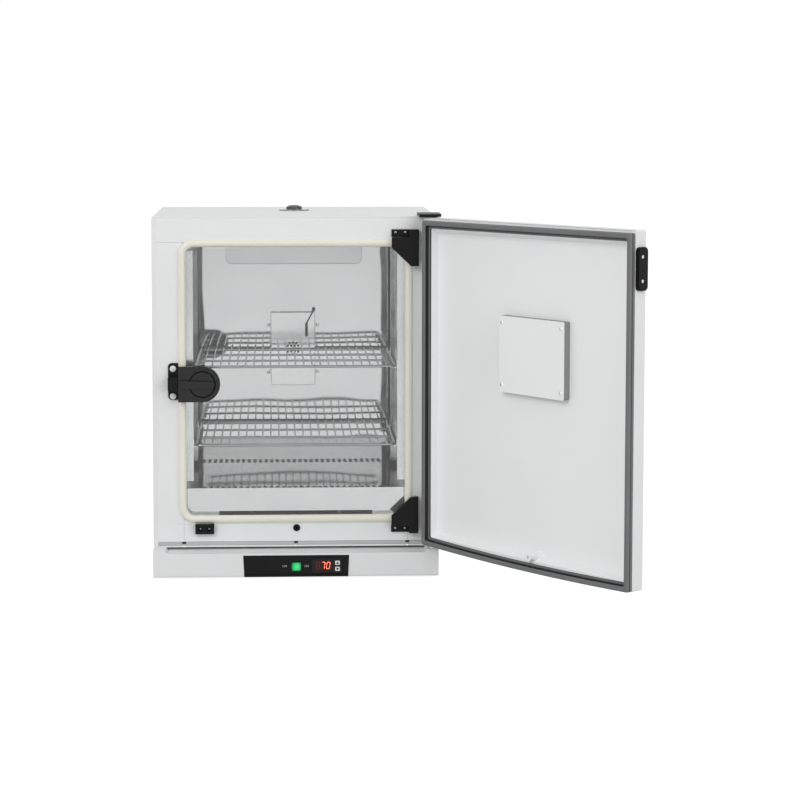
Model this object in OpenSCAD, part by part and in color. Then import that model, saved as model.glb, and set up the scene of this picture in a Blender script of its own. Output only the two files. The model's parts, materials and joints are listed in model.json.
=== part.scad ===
// Bench incubator with two doors, in millimetres.
// X runs to the right, Y to the back, Z up from the bench, and the origin lies under the
// middle of the cabinet body. The outer door is drawn open, the inner glass door closed.

/* [Cabinet] */
// Wall of the body beside the chamber
side_wall = 60; // [57:0.5:80]
// Space of the body behind the chamber
back_space = 44; // [38:0.5:80]
// Wall of the body above the chamber
top_wall = 54.5; // [50:0.5:90]
// Thickness of the outer sheet steel
case_t = 1.5; // [1:0.1:2]
// Radius of the long edges of the outer case
case_r = 4; // [3:0.5:6]
// Width of the case's front return beside the frame
return_w = 7.5; // [6:0.5:9]
// Height of the case's front return above and below the frame
lip_h = 3.2; // [2.5:0.1:4]
// Height of the grey strip under the front frame
strip_h = 6.6; // [5:0.2:9]
// Depth of the folded edges behind the front frame
fold_d = 10; // [6:0.5:12]
// Gap at a seam between two sheets
seam = 0.4; // [0.3:0.05:0.8]

/* [Chamber] */
// Inner width of the chamber
cham_w = 391; // [384:1:394]
// Inner height of the chamber
cham_h = 482; // [476:1:486]
// Inner depth of the chamber
cham_d = 316; // [312:1:320]
// Corner radius of the chamber mouth
cham_r = 14.8; // [10:0.2:18]
// Chamber bottom above the underside of the body
cham_up = 58.5; // [56:0.5:62]
// Thickness of the stainless sheet
liner_t = 1; // [0.8:0.1:1.2]
// Front flange beside the chamber mouth
flange_x = 5.3; // [4.5:0.1:6]
// Front flange above and below the chamber mouth
flange_z = 8.6; // [7.5:0.1:9.5]
// Top of the floor plate above the chamber bottom
floor_up = 45.5; // [40:0.5:50]
// Height of the uprights' lower ends above the floor plate
upright_up = 11; // [8:0.5:14]
// Pitch of the air holes in the floor plate
hole_pitch = 10.9; // [10:0.1:14]
// Diameter of the air holes in the floor plate
hole_dia = 4.6; // [3:0.2:7]

/* [Seals] */
// Width of the chamber seal
seal_w = 13.3; // [11:0.1:14]
// Thickness of the chamber seal
seal_t = 6; // [5:0.1:6.4]
// Width of the crown of the outer door seal
gasket_w = 8.7; // [7:0.1:9.5]
// Width of the flat lip of the outer door seal
gasket_lip = 5; // [4:0.1:5.4]
// Depth of the outer door seal
gasket_t = 11.3; // [9:0.1:12]

/* [Shelves] */
// Depth of an upright from the chamber wall to its face
upright_d = 11.5; // [10:0.1:16]
// Width of an upright
upright_w = 16; // [14:0.5:20]
// Pitch of the slots in the uprights
slot_pitch = 28.4; // [26:0.2:30]
// Slot that carries the lower shelf
lower_slot = 2; // [1:1:4]
// Slots between the lower and the upper shelf
shelf_step = 5; // [3:1:7]
// Space between a shelf and the fan cover
shelf_gap = 2; // [1:0.5:12]
// Diameter of a shelf's frame rods
frame_rod = 5; // [4:0.2:6]
// Diameter of a shelf's cross rods
cross_rod = 3; // [2.4:0.2:3.6]
// Number of cross rods in a shelf
rod_count = 23; // [15:2:27]

/* [Glass door] */
// Glass past the chamber mouth on the latch side
glass_left = 13; // [12:0.5:14]
// Glass past the chamber mouth on the hinge side
glass_right = 16; // [15:0.5:16.5]
// Glass past the chamber mouth at the top
glass_over = 12.6; // [11:0.1:13.6]
// Glass past the chamber mouth at the bottom
glass_under = 14.4; // [13:0.1:15.4]
// Thickness of the glass pane
glass_t = 5; // [4:0.5:6]
// Width of a hinge clamp
clamp_w = 48.3; // [44:0.1:52]
// Height of a hinge clamp
clamp_h = 51.5; // [46:0.1:56]
// Height of a hinge bracket on the frame
bracket_h = 13.2; // [12:0.1:13.4]
// Diameter of the glass door's hinge pins
glass_pin = 5; // [4:0.2:5.4]
// Length of the latch housing
latch_l = 74.5; // [70:0.5:78]
// Height of the latch housing
latch_h = 63.6; // [60:0.2:68]
// Thickness of the latch housing
latch_t = 9; // [8:0.1:9.4]
// Diameter of the latch knob
knob_dia = 44; // [40:0.5:46]
// Length of the grip bar across the knob
grip_l = 61; // [56:0.5:62]
// Knob centre below the chamber's middle
latch_drop = 2.5; // [-40:0.5:40]
// Travel of the latch bolt
bolt_throw = 9; // [7:0.5:10]

/* [Outer door] */
// Angle that the outer door stands open
door_open = 127.4; // [95:0.1:150]
// Lower edge of the outer door above the underside of the body
door_up = 9.5; // [8:0.5:16]
// Depth of the door shell behind its rim
shell_d = 23.7; // [21.5:0.1:25]
// Depth of the hollow in the door's inner pan
pan_d = 16.8; // [16:0.1:17.5]
// Slope at the top and bottom of the pan's hollow
pan_slope = 8; // [7:0.5:8.5]
// Pivot in from the door's hinge edge
pivot_in = 11.4; // [11:0.1:12.5]
// Pivot in front of the cabinet face
pivot_out = 25.7; // [25.4:0.1:27]
// Gap between the closed seal and the cabinet face
seal_gap = 0.9; // [0.8:0.1:1.2]
// Width of the cover plate on the pan
cover_w = 156; // [140:1:170]
// Height of the cover plate on the pan
cover_h = 131; // [120:1:140]
// Thickness of the cover plate
cover_t = 13.8; // [8:0.1:15]
// Height of the edge handle
handle_h = 70; // [60:1:90]

/* [Base] */
// Visible height of the feet
foot_h = 4; // [3:0.5:6]
// Height of the base housing
base_h = 42.6; // [40:0.2:48]
// Distance that the base stands out in front of the cabinet
base_out = 37.5; // [37:0.5:42]
// How far the base stands in from the body's sides
base_in = 0.8; // [0:0.1:4]
// Shadow gap between base and cabinet
gap_h = 4.4; // [3:0.2:5]
// Width of the raised end blocks
block_w = 22; // [20:0.5:26]
// Height of the raised end blocks over the ledge
block_h = 6.2; // [5:0.2:6.6]
// Width of the control panel's window
panel_w = 185.7; // [180:0.5:200]
// Height of the control panel's window
panel_h = 34.8; // [32:0.2:36]
// Diameter of a foot
foot_dia = 32; // [26:1:36]

/* [Controls] */
// Width of the rocker
rocker_w = 16.8; // [15:0.2:18]
// Height of the rocker
rocker_h = 14.2; // [13:0.2:15]
// Tilt of the rocker to either side of its middle
rocker_tilt = 9; // [6:0.5:10]
// Width of the controller's face
unit_w = 53.7; // [50:0.1:56]
// Height of the controller's face
unit_h = 25.9; // [25:0.1:27]
// Middle of the controller, right of the cabinet's middle
unit_x = 54.5; // [52:0.1:58]
// Width of a button
key_w = 8.6; // [7:0.1:9]
// Height of a button
key_h = 7.6; // [6:0.1:8]

/* [Fan and vent] */
// Width of the fan cover
fan_cover_w = 85; // [82:0.5:90]
// Height of the fan cover
fan_cover_h = 141; // [130:0.5:150]
// Depth of the fan cover
fan_cover_d = 13; // [12:0.5:15]
// Radius of the fan wheel
wheel_r = 33; // [28:0.5:36]
// Number of fan blades
blade_count = 12; // [8:1:16]
// Diameter of the vent flange
vent_flange_dia = 56; // [50:1:64]
// Diameter of the vent cap
vent_cap_dia = 29.4; // [28:0.2:34]
// Vent behind the cabinet face
vent_back = 214; // [180:1:240]

/* [Hidden] */
$fn = 48;

white = "whitesmoke";
steel = "silver";
black = "#222222";

rest_gap = 0.3; // between a piece and its seat
run_gap = 0.06; // radial, round a turning pin
eps = 0.5; // how far a cut runs past a face

cab_w = cham_w + 2 * side_wall; // the body: the chamber and the walls round it
cab_d = cham_d + back_space;
cab_h = cham_up + cham_h + top_wall;
base_w = cab_w - 2 * base_in;

yf = -cab_d / 2; // cabinet face
yb = cab_d / 2;
ledge_z = foot_h + base_h; // top of the base
zb = ledge_z + gap_h; // underside of the body
zt = zb + cab_h;
win_w = cab_w - 2 * return_w; // window in the case's front
cz0 = zb + cham_up; // chamber bottom
cz1 = cz0 + cham_h;
cz = (cz0 + cz1) / 2;
y_wall = yf + cham_d; // chamber back wall
strip_top = zb + lip_h + strip_h;
frame_z0 = strip_top + seam;
stile_in = cham_w / 2 + flange_x;
sill_z = cz0 - flange_z;
head_z = cz1 + flange_z;

// An outline in X and Z made solid from y0 to y1.
module slab(y0, y1) {
    translate([0, y1, 0])
        rotate([90, 0, 0])
            linear_extrude(y1 - y0)
                children();
}

// An outline in Y and Z made solid from x0 to x1.
module bar_x(x0, x1) {
    translate([x0, 0, 0])
        rotate([90, 0, 90])
            linear_extrude(x1 - x0)
                children();
}

// An outline in X and Y made solid from z0 to z1.
module rise(z0, z1) {
    translate([0, 0, z0])
        linear_extrude(z1 - z0)
            children();
}

// A box between two corners.
module block(low, high) {
    translate(low)
        cube(high - low);
}

// A rod between two points on one axis: "x", "y" or "z".
module rod(axis, at, from, to, d) {
    turn = axis == "x" ? [0, 90, 0] : axis == "y" ? [-90, 0, 0] : [0, 0, 0];
    move = axis == "x" ? [from, at[0], at[1]] : axis == "y" ? [at[0], from, at[1]]
        : [at[0], at[1], from];
    translate(move)
        rotate(turn)
            cylinder(d = d, h = to - from);
}

// A rectangle with true round corners, centred.
module rounded(w, h, r) {
    square([w - 2 * r, h], center = true);
    square([w, h - 2 * r], center = true);
    for (x = [-1, 1], y = [-1, 1])
        translate([x * (w / 2 - r), y * (h / 2 - r)])
            circle(r);
}

// A rectangle between two corners, in the plane.
module pane(x0, y0, x1, y1) {
    translate([x0, y0])
        square([x1 - x0, y1 - y0]);
}

// A frame of a profile round a rounded rectangle in X and Z. The profile lies with its
// inner edge on x = 0 and runs outwards, and its y is the height in front of the face y0.
module profile_frame(w, h, r, y0) {
    for (side = [0, 1], turned = [0, 1]) {
        run = turned == 0 ? h - 2 * r : w - 2 * r;
        off = turned == 0 ? w / 2 : h / 2;
        translate([0, y0, 0])
            rotate([0, side * 180 + turned * 90, 0])
                translate([off, 0, -run / 2])
                    linear_extrude(run)
                        scale([1, -1])
                            children();
    }
    for (i = [0:3])
        rotate([0, -90 * i, 0])
            translate((i % 2 == 0 ? [w / 2 - r, 0, h / 2 - r] : [h / 2 - r, 0, w / 2 - r])
                + [0, y0, 0])
                rotate([90, 0, 0])
                    rotate_extrude(angle = 90)
                        translate([r, 0])
                            children();
}

// A pan-head screw that points to +Y, with the underside of its head at the origin.
module screw(head_d, head_t, shank_d, shank_l) {
    translate([0, -head_t, 0])
        rotate([-90, 0, 0])
            cylinder(d1 = head_d * 0.7, d2 = head_d, h = head_t);
    rotate([-90, 0, 0])
        cylinder(d = shank_d, h = shank_l);
}

// Cabinet body

module outer_case() {
    mid = (zb + zt) / 2;
    color(white)
        difference() {
            slab(yf, yb)
                translate([0, mid])
                    rounded(cab_w, cab_h, case_r);
            slab(yf + case_t, yb + eps)
                translate([0, mid])
                    rounded(cab_w - 2 * case_t, cab_h - 2 * case_t, case_r - case_t);
            slab(yf - eps, yf + case_t + eps)
                pane(-win_w / 2, zb + lip_h, win_w / 2, zt - lip_h);
            translate([0, vent_y, zt - case_t - eps])
                cylinder(d = vent_tube_dia + 2 * rest_gap, h = case_t + 2 * eps);
        }
}

// Outline of what fits inside the outer case.
module inside_case() {
    edge = case_t + rest_gap;
    translate([0, (zb + zt) / 2])
        rounded(cab_w - 2 * edge, cab_h - 2 * edge, case_r - edge + rest_gap);
}

back_edge = 9; // screw line in from the edge of the back panel
louvre_n = 7;
louvre_w = 110;
back_spots = [for (x = [-1, 0, 1], z = [0, 0.5, 1]) if (x != 0 || z != 0.5)
    [x * (cab_w / 2 - back_edge), zb + back_edge + z * (cab_h - 2 * back_edge)]];

module back_panel() {
    color(white)
        difference() {
            slab(yb - case_t, yb)
                inside_case();
            for (i = [0:louvre_n - 1])
                slab(yb - case_t - eps, yb + eps)
                    translate([0, fan_z + (i - (louvre_n - 1) / 2) * 12])
                        rounded(louvre_w, 5, 2.4);
            for (p = back_spots)
                rod("y", p, yb - case_t - eps, yb + eps, small_shank + 0.4);
        }
}

module top_rail() {
    low = head_z + seam / 2;
    high = zt - lip_h - seam;
    color(white)
        difference() {
            union() {
                slab(yf, yf + case_t)
                    pane(-win_w / 2 + seam, low, win_w / 2 - seam, high);
                slab(yf + case_t, yf + fold_d)
                    pane(-stile_in, low, stile_in, low + case_t);
            }
            frame_holes(bracket_top_spots, small_shank);
        }
}

// Clearance holes for screws through the front frame.
module frame_holes(spots, shank) {
    for (p = spots)
        rod("y", p, yf - eps, yf + case_t + eps, shank + 0.4);
}

module stile(side) {
    mirror([side < 0 ? 1 : 0, 0, 0]) {
        slab(yf, yf + case_t)
            pane(stile_in, frame_z0, win_w / 2 - seam, head_z - seam / 2);
        slab(yf + case_t, yf + fold_d)
            pane(stile_in, frame_z0 + fold_d, stile_in + case_t, head_z - fold_d);
    }
}

module left_stile() {
    color(white)
        difference() {
            stile(-1);
            frame_holes(strike_spots, big_shank);
        }
}

module right_stile() {
    color(white)
        stile(1);
}

module bottom_rail() {
    high = sill_z - seam / 2;
    color(white)
        difference() {
            union() {
                slab(yf, yf + case_t)
                    pane(-stile_in + seam, frame_z0, stile_in - seam, high);
                slab(yf + case_t, yf + fold_d)
                    pane(-stile_in + seam + fold_d, high - case_t, stile_in - seam - fold_d, high);
            }
            frame_holes(concat(rest_spots, bracket_low_spots), small_shank);
            frame_holes([[contact_x, contact_z]], contact_dia * 0.8 - 0.4);
        }
}

// The strip has three open notches for the fixings below the frame.
module plinth_strip() {
    notch_w = 7;
    color("gainsboro")
        difference() {
            slab(yf, yf + case_t)
                pane(-win_w / 2 + seam, zb + lip_h + rest_gap, win_w / 2 - seam, strip_top);
            for (x = [-stile_in, 0, stile_in])
                slab(yf - eps, yf + case_t + eps)
                    pane(x - notch_w / 2, strip_top - strip_h * 0.6, x + notch_w / 2,
                        strip_top + eps);
        }
}

insul_y0 = yf + fold_d + 2;
insul_gap = 5; // free space behind the chamber's back wall

module insulation() {
    color("khaki")
        difference() {
            slab(insul_y0, yb - case_t - rest_gap)
                inside_case();
            slab(insul_y0 - eps, y_wall + liner_t + insul_gap)
                translate([0, cz])
                    square([cham_w, cham_h] + [1, 1] * 2 * (liner_t + rest_gap), center = true);
            rod("y", [fan_x, fan_z], y_wall, yb, motor_dia + 6);
            rod("z", [0, vent_y], cz1, zt, vent_tube_dia + 2 * rest_gap);
        }
}

// Chamber

module chamber_liner() {
    color(steel)
        difference() {
            union() {
                slab(yf, y_wall + liner_t)
                    translate([0, cz])
                        rounded(cham_w + 2 * liner_t, cham_h + 2 * liner_t, cham_r + liner_t);
                slab(yf, yf + liner_t)
                    pane(-stile_in + seam, sill_z + seam / 2, stile_in - seam, head_z - seam / 2);
            }
            slab(yf - eps, y_wall)
                translate([0, cz])
                    rounded(cham_w, cham_h, cham_r);
            rod("y", [fan_x, fan_z], y_wall - eps, y_wall + liner_t + eps, shaft_dia + 4);
            rod("z", [0, vent_y], cz1 - eps, cz1 + liner_t + eps, vent_tube_dia + 2 * rest_gap);
            for (p = fan_cover_spots)
                rod("y", p, y_wall - eps, y_wall + liner_t + eps, small_shank + 0.4);
        }
}

seal_r = cham_r + 0.2;

module seal_profile() {
    crown = seal_t / 2;
    big = (pow(seal_w / 2, 2) + pow(crown, 2)) / (2 * crown);
    intersection() {
        square([seal_w, seal_t]);
        translate([seal_w / 2, seal_t - big])
            circle(big, $fn = 96);
    }
}

module chamber_seal() {
    color("cornsilk")
        translate([0, 0, cz])
            profile_frame(cham_w + 0.4, cham_h + 0.4, seal_r, yf)
                seal_profile();
}

floor_z = cz0 + floor_up;
floor_t = 1.2;
fascia_y = yf + 18;
fascia_slot = cham_w - 115; // width of the air slot under the fascia
floor_holes = floor((cham_w - 24) / hole_pitch);

module floor_plate() {
    inner_w = cham_w - 2 * rest_gap;
    inner_h = cham_h - 2 * rest_gap;
    plate_y1 = y_wall - 2;
    color(steel)
        difference() {
            union() {
                block([-inner_w / 2, fascia_y, floor_z - floor_t],
                    [inner_w / 2, plate_y1, floor_z]);
                intersection() {
                    slab(fascia_y, fascia_y + floor_t)
                        pane(-inner_w / 2, cz0, inner_w / 2, floor_z);
                    slab(fascia_y, fascia_y + floor_t)
                        translate([0, cz])
                            rounded(inner_w, inner_h, cham_r);
                }
                for (x = [-1, 1])
                    block([x * (inner_w / 2 - 30) - 6, plate_y1 - 12, cz0],
                        [x * (inner_w / 2 - 30) + 6, plate_y1 - 10.8, floor_z]);
            }
            slab(fascia_y - eps, fascia_y + floor_t + eps)
                pane(-fascia_slot / 2, cz0 - 1, fascia_slot / 2, cz0 + 4);
            for (y = [fascia_y + 9, plate_y1 - 10], i = [0:floor_holes - 1])
                rod("z", [(i - (floor_holes - 1) / 2) * hole_pitch, y], floor_z - floor_t - eps,
                    floor_z + eps, hole_dia);
        }
}

heater_z = cz0 + 20;
heater_dia = 8;
heater_runs = 5;
heater_pitch = (cham_d - 140) / (heater_runs - 1);
heater_x = cham_w / 2 - 65.5; // half the length of a run
heater_y0 = yf + 40;

module heating_element() {
    color("dimgray") {
        for (i = [0:heater_runs - 1])
            rod("x", [heater_y0 + i * heater_pitch, heater_z], -heater_x, heater_x, heater_dia);
        for (i = [0:heater_runs - 2])
            translate([(i % 2 == 0 ? 1 : -1) * heater_x, heater_y0 + (i + 0.5) * heater_pitch,
                heater_z])
                rotate([0, 0, i % 2 == 0 ? -90 : 90])
                    rotate_extrude(angle = 180)
                        translate([heater_pitch / 2, 0])
                            circle(d = heater_dia);
        for (x = [-80, 80])
            block([x - 2, heater_y0 - 8, cz0],
                [x + 2, heater_y0 + (heater_runs - 1) * heater_pitch + 8, heater_z - 2]);
    }
}

// An upright: a channel with its flanges on the chamber wall and a row of slots in its web.
upright_t = 1.5;
rack_x = cham_w / 2 - upright_d; // face of an upright
front_up_y = yf + 41;
rear_up_y = y_wall - 56;
slot_w = 8;
slot_h = 12;
slot_margin = 9.4; // from the ends of an upright to its end slots
upright_z0 = floor_z + upright_up;
upright_room = 8; // free space over the uprights, at the least
slot_count = floor((cz1 - upright_room - upright_z0 - 2 * slot_margin) / slot_pitch) + 1;
upright_z1 = upright_z0 + (slot_count - 1) * slot_pitch + 2 * slot_margin;

function slot_z(i) = upright_z0 + slot_margin + i * slot_pitch;

module upright(side, y) {
    mirror([side < 0 ? 1 : 0, 0, 0])
        difference() {
            intersection() {
                union() {
                    block([rack_x, y - upright_w / 2, upright_z0],
                        [rack_x + upright_t, y + upright_w / 2, upright_z1]);
                    for (e = [-1, 1])
                        block([rack_x, y + e * (upright_w - upright_t) / 2 - upright_t / 2,
                            upright_z0], [cham_w / 2, y + e * (upright_w - upright_t) / 2
                            + upright_t / 2, upright_z1]);
                }
                // the corner of the chamber, which the upper end follows
                slab(y - upright_w, y + upright_w)
                    translate([0, cz])
                        rounded(cham_w, cham_h, cham_r + 0.5);
            }
            for (i = [0:slot_count - 1])
                bar_x(rack_x - eps, rack_x + upright_t + eps)
                    translate([y, slot_z(i)])
                        rounded(slot_w, slot_h, 3);
        }
}

module left_uprights() {
    color(steel)
        for (y = [front_up_y, rear_up_y])
            upright(-1, y);
}

module right_uprights() {
    color(steel)
        for (y = [front_up_y, rear_up_y])
            upright(1, y);
}

// A pair of angle runners hooked into the slots at one level.
runner_t = 1.2;
runner_lip = 12;
runner_h = 11;

function ledge_at(i) = slot_z(i) - slot_h / 2 + 3;

module runners(i) {
    z = ledge_at(i);
    for (side = [0, 1])
        mirror([side, 0, 0]) {
            block([rack_x - runner_t, front_up_y - 6, z - runner_t],
                [rack_x, rear_up_y + 6, z + runner_h]);
            block([rack_x - runner_lip, front_up_y - 6, z - runner_t],
                [rack_x, rear_up_y + 6, z]);
            for (y = [front_up_y, rear_up_y])
                block([rack_x, y - slot_w / 2 + 1, z - runner_t],
                    [rack_x + 4, y + slot_w / 2 - 1, z + 3]);
        }
}

module upper_runners() {
    color(steel)
        runners(lower_slot + shelf_step);
}

module lower_runners() {
    color(steel)
        runners(lower_slot);
}

// A wire shelf: a frame of thick rods, two long rods and the cross rods on top of them.
shelf_w = 2 * (rack_x - runner_t - 1);
shelf_y0 = front_up_y - 18;
shelf_y1 = y_wall - fan_cover_d - shelf_gap;
weld = 0.8; // how deep crossing rods are pressed into each other

module wire_shelf(i) {
    z = ledge_at(i) + rest_gap + frame_rod / 2;
    half = (shelf_w - frame_rod) / 2;
    long = shelf_y1 - shelf_y0 - frame_rod;
    y0 = shelf_y0 + frame_rod / 2;
    bend = 10;
    for (x = [-half, half])
        rod("y", [x, z], y0 + bend, y0 + long - bend, frame_rod);
    for (y = [y0, y0 + long])
        rod("x", [y, z], -half + bend, half - bend, frame_rod);
    for (k = [0:3])
        translate([(k == 0 || k == 3 ? 1 : -1) * (half - bend),
            k < 2 ? y0 + long - bend : y0 + bend, z])
            rotate([0, 0, k * 90])
                rotate_extrude(angle = 90)
                    translate([bend, 0])
                        circle(d = frame_rod);
    for (k = [1, 2])
        rod("x", [y0 + k * long / 3, z], -half, half, frame_rod * 0.8);
    top = z + (frame_rod + cross_rod) / 2 - weld;
    for (k = [1:rod_count])
        rod("y", [-half + k * 2 * half / (rod_count + 1), top], y0 - frame_rod * 0.3,
            y0 + long + frame_rod * 0.3, cross_rod);
}

module upper_shelf() {
    color(steel)
        wire_shelf(lower_slot + shelf_step);
}

module lower_shelf() {
    color(steel)
        wire_shelf(lower_slot);
}

// Fan, its cover and motor

fan_x = -2;
fan_z = cz + 24.5;
fan_ear_x = 47.5;
fan_ear_z = 45.5;
cover_sheet = 1.2;
shaft_dia = 6;
motor_dia = 56;
motor_l = 32;
fan_cover_spots = [for (x = [-1, 1], z = [-1, 1]) [fan_x + x * fan_ear_x, fan_z + z * fan_ear_z]];
small_head = 7;
small_shank = 3;
big_head = 11;
big_shank = 4.5;

module fan_cover() {
    y0 = y_wall - fan_cover_d;
    color("lightgray")
        difference() {
            union() {
                slab(y0, y_wall)
                    translate([fan_x, fan_z])
                        rounded(fan_cover_w, fan_cover_h, 3);
                for (p = fan_cover_spots)
                    slab(y_wall - cover_sheet, y_wall)
                        translate([p[0] - sign(p[0] - fan_x) * 3, p[1]])
                            rounded(17, 14, 3);
            }
            slab(y0 + cover_sheet, y_wall + eps)
                translate([fan_x, fan_z])
                    square([fan_cover_w, fan_cover_h] - [1, 1] * 2 * cover_sheet, center = true);
            for (i = [-2:2], j = [-2:2])
                if (abs(i + j) <= 2)
                    rod("y", [fan_x + (i + j / 2) * 6.6, fan_z + j * 5.7], y0 - eps,
                        y0 + cover_sheet + eps, 4.4);
            for (i = [-4:4])
                rod("z", [fan_x + i * 7.7, y0 + fan_cover_d / 2],
                    fan_z + fan_cover_h / 2 - cover_sheet - eps, fan_z + fan_cover_h / 2 + eps, 4);
            for (p = fan_cover_spots)
                rod("y", p, y_wall - cover_sheet - eps, y_wall + eps, small_shank + 0.4);
        }
}

wheel_y1 = y_wall - 2;
wheel_y0 = y_wall - fan_cover_d + cover_sheet + 2;

module fan_wheel() {
    color("darkgray")
        translate([fan_x, 0, fan_z]) {
            rod("y", [0, 0], wheel_y1 - 1.2, wheel_y1, 2 * wheel_r);
            rod("y", [0, 0], wheel_y0, wheel_y1 - 1.2, 18);
            rod("y", [0, 0], wheel_y1, y_wall + liner_t + 20, shaft_dia);
            for (i = [0:blade_count - 1])
                rotate([0, i * 360 / blade_count, 0])
                    translate([wheel_r * 0.72, 0, 0])
                        rotate([0, 35, 0])
                            block([-wheel_r * 0.2, wheel_y0, -0.6],
                                [wheel_r * 0.2, wheel_y1 - 0.8, 0.6]);
        }
}

module fan_motor() {
    y0 = y_wall + liner_t;
    color("slategray")
        difference() {
            union() {
                rod("y", [fan_x, fan_z], y0 + 4, y0 + motor_l, motor_dia);
                for (x = [-1, 1], z = [-1, 1])
                    rod("y", [fan_x + x * 16, fan_z + z * 16], y0, y0 + 4, 8);
            }
            rod("y", [fan_x, fan_z], y0 + 4 - eps, y0 + 21, shaft_dia + 2 * run_gap);
        }
}

// The sensor hangs in front of the fan cover on a thin arm from the back wall.
module temperature_probe() {
    y = y_wall - fan_cover_d - 6;
    x = fan_x + 26;
    z = fan_z + 49; // top of the bulb
    arm_l = 30;
    tilt = 28;
    end = [x + arm_l * sin(tilt), z + arm_l * cos(tilt)];
    color(black) {
        rod("z", [x, y], z - 24, z, 5);
        translate([x, y, z - 2])
            cylinder(d = 2.8, h = 3);
        translate([x, y, z])
            rotate([0, tilt, 0])
                cylinder(d = 2, h = arm_l);
        rod("y", end, y - 1.6, y_wall, 2.6);
        rod("y", end, y_wall - 2, y_wall, 7);
    }
}

baffle_w = cham_w - 130;
baffle_h = 53;
baffle_d = 9;

module vent_baffle() {
    y0 = y_wall - baffle_d;
    z0 = cz1 - baffle_h;
    color("darkgray")
        difference() {
            slab(y0, y_wall) {
                translate([0, z0 + baffle_h / 2])
                    rounded(baffle_w, baffle_h, 10);
                pane(-baffle_w / 2, z0 + baffle_h / 2, baffle_w / 2, cz1);
            }
            slab(y0 + cover_sheet, y_wall + eps)
                pane(-baffle_w / 2 + 11, z0 + cover_sheet + 3, baffle_w / 2 - 11, cz1 - 3);
        }
}

// Vent

vent_y = yf + vent_back;
vent_tube_dia = 24;
vent_bore = 18;
vent_flange_t = 2.5;
vent_neck_d = 22;

module vent_flange() {
    color(steel)
        difference() {
            union() {
                rod("z", [0, vent_y], zt, zt + vent_flange_t, vent_flange_dia);
                rod("z", [0, vent_y], cz1, zt, vent_tube_dia);
                rod("z", [0, vent_y], zt, zt + vent_flange_t + 2, vent_neck_d);
            }
            rod("z", [0, vent_y], cz1 - eps, zt + vent_flange_t + 2 + eps, vent_bore);
            for (a = [45:90:315])
                translate([vent_flange_dia * 0.4 * cos(a), vent_y + vent_flange_dia * 0.4 * sin(a),
                    zt + vent_flange_t - 1.2])
                    cylinder(d = 4, h = 2);
        }
}

module vent_cap() {
    z0 = zt + vent_flange_t + rest_gap;
    skirt = 4.2;
    color("gray")
        translate([0, vent_y, 0])
            difference() {
                union() {
                    rod("z", [0, 0], z0, z0 + skirt, vent_cap_dia);
                    translate([0, 0, z0 + skirt])
                        cylinder(d1 = vent_cap_dia, d2 = vent_cap_dia * 0.8, h = 1.6);
                    translate([0, 0, z0 + skirt + 1.6])
                        cylinder(d1 = vent_cap_dia * 0.8, d2 = vent_cap_dia * 0.44, h = 1.5);
                }
                rod("z", [0, 0], z0 - eps, z0 + 2.5, vent_neck_d + 2 * run_gap);
                for (a = [0:60:300])
                    rotate([0, 0, a])
                        rod("x", [0, z0 + skirt * 0.66], vent_neck_d / 2 - 1, vent_cap_dia, 2.4);
            }
}

// Glass door and what carries it

glass_y1 = yf - seal_t - rest_gap;
glass_y0 = glass_y1 - glass_t;
glass_x1 = cham_w / 2 + glass_right;
glass_x0 = -cham_w / 2 - glass_left;
glass_z0 = cz0 - glass_under;
glass_z1 = cz1 + glass_over;
clamp_x1 = glass_x1 + 8;
clamp_x0 = clamp_x1 - clamp_w;
pin_x = clamp_x1 - 4.5;
pin_y = yf - 12;
hinge_y0 = yf - 16.3; // front of the clamps and brackets
clamp_in = 4; // clearance of a clamp to the cabinet face
clamp_top_z = glass_z1 + 4.8; // upper end of the upper clamp
clamp_low_z = glass_z0 - 4.8;
spot_top = 8; // screws of a bracket from the end of its clamp
spot_low = 6;
bracket_x = [clamp_x0 + 7.5, clamp_x0 + 25];
bracket_top_spots = [for (x = bracket_x) [x, clamp_top_z + spot_top]];
bracket_low_spots = [for (x = bracket_x) [x, clamp_low_z - spot_low]];
bracket_block_w = 17;

// A clamp drawn for the lower corner: it holds the glass edge and turns on the pin.
module glass_clamp() {
    difference() {
        union() {
            slab(hinge_y0, glass_y0)
                polygon([[clamp_x0, 0], [clamp_x1, 0], [clamp_x1, clamp_h],
                    [clamp_x1 - 14, clamp_h], [clamp_x0, clamp_h * 0.36]]);
            slab(hinge_y0, yf - clamp_in)
                pane(glass_x1 + rest_gap, 0, clamp_x1, clamp_h);
        }
        rod("z", [pin_x, pin_y], -eps, 12.4, glass_pin + 2 * run_gap);
    }
}

module glass_clamp_top() {
    color(black)
        translate([0, 0, clamp_top_z])
            mirror([0, 0, 1])
                glass_clamp();
}

module glass_clamp_bottom() {
    color(black)
        translate([0, 0, clamp_low_z])
            glass_clamp();
}

// A bracket drawn for the lower corner, with its pin standing up at z = 0.
module glass_bracket(spot) {
    difference() {
        union() {
            slab(yf - 3, yf)
                pane(clamp_x0, -bracket_h, clamp_x1, 0);
            slab(hinge_y0, yf)
                pane(clamp_x1 - bracket_block_w, -bracket_h, clamp_x1, 0);
            slab(yf - 6, yf)
                pane(clamp_x0, -1.6, clamp_x1, 0);
        }
        for (x = bracket_x)
            rod("y", [x, -spot], yf - 3 - eps, yf + eps, small_shank + 0.4);
    }
    rod("z", [pin_x, pin_y], 0, 12, glass_pin);
}

module glass_hinge_bottom() {
    color(black)
        translate([0, 0, clamp_low_z - rest_gap])
            glass_bracket(spot_low - rest_gap);
}

module glass_hinge_top() {
    color(black)
        translate([0, 0, clamp_top_z + rest_gap])
            mirror([0, 0, 1])
                glass_bracket(spot_top - rest_gap);
}

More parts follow.
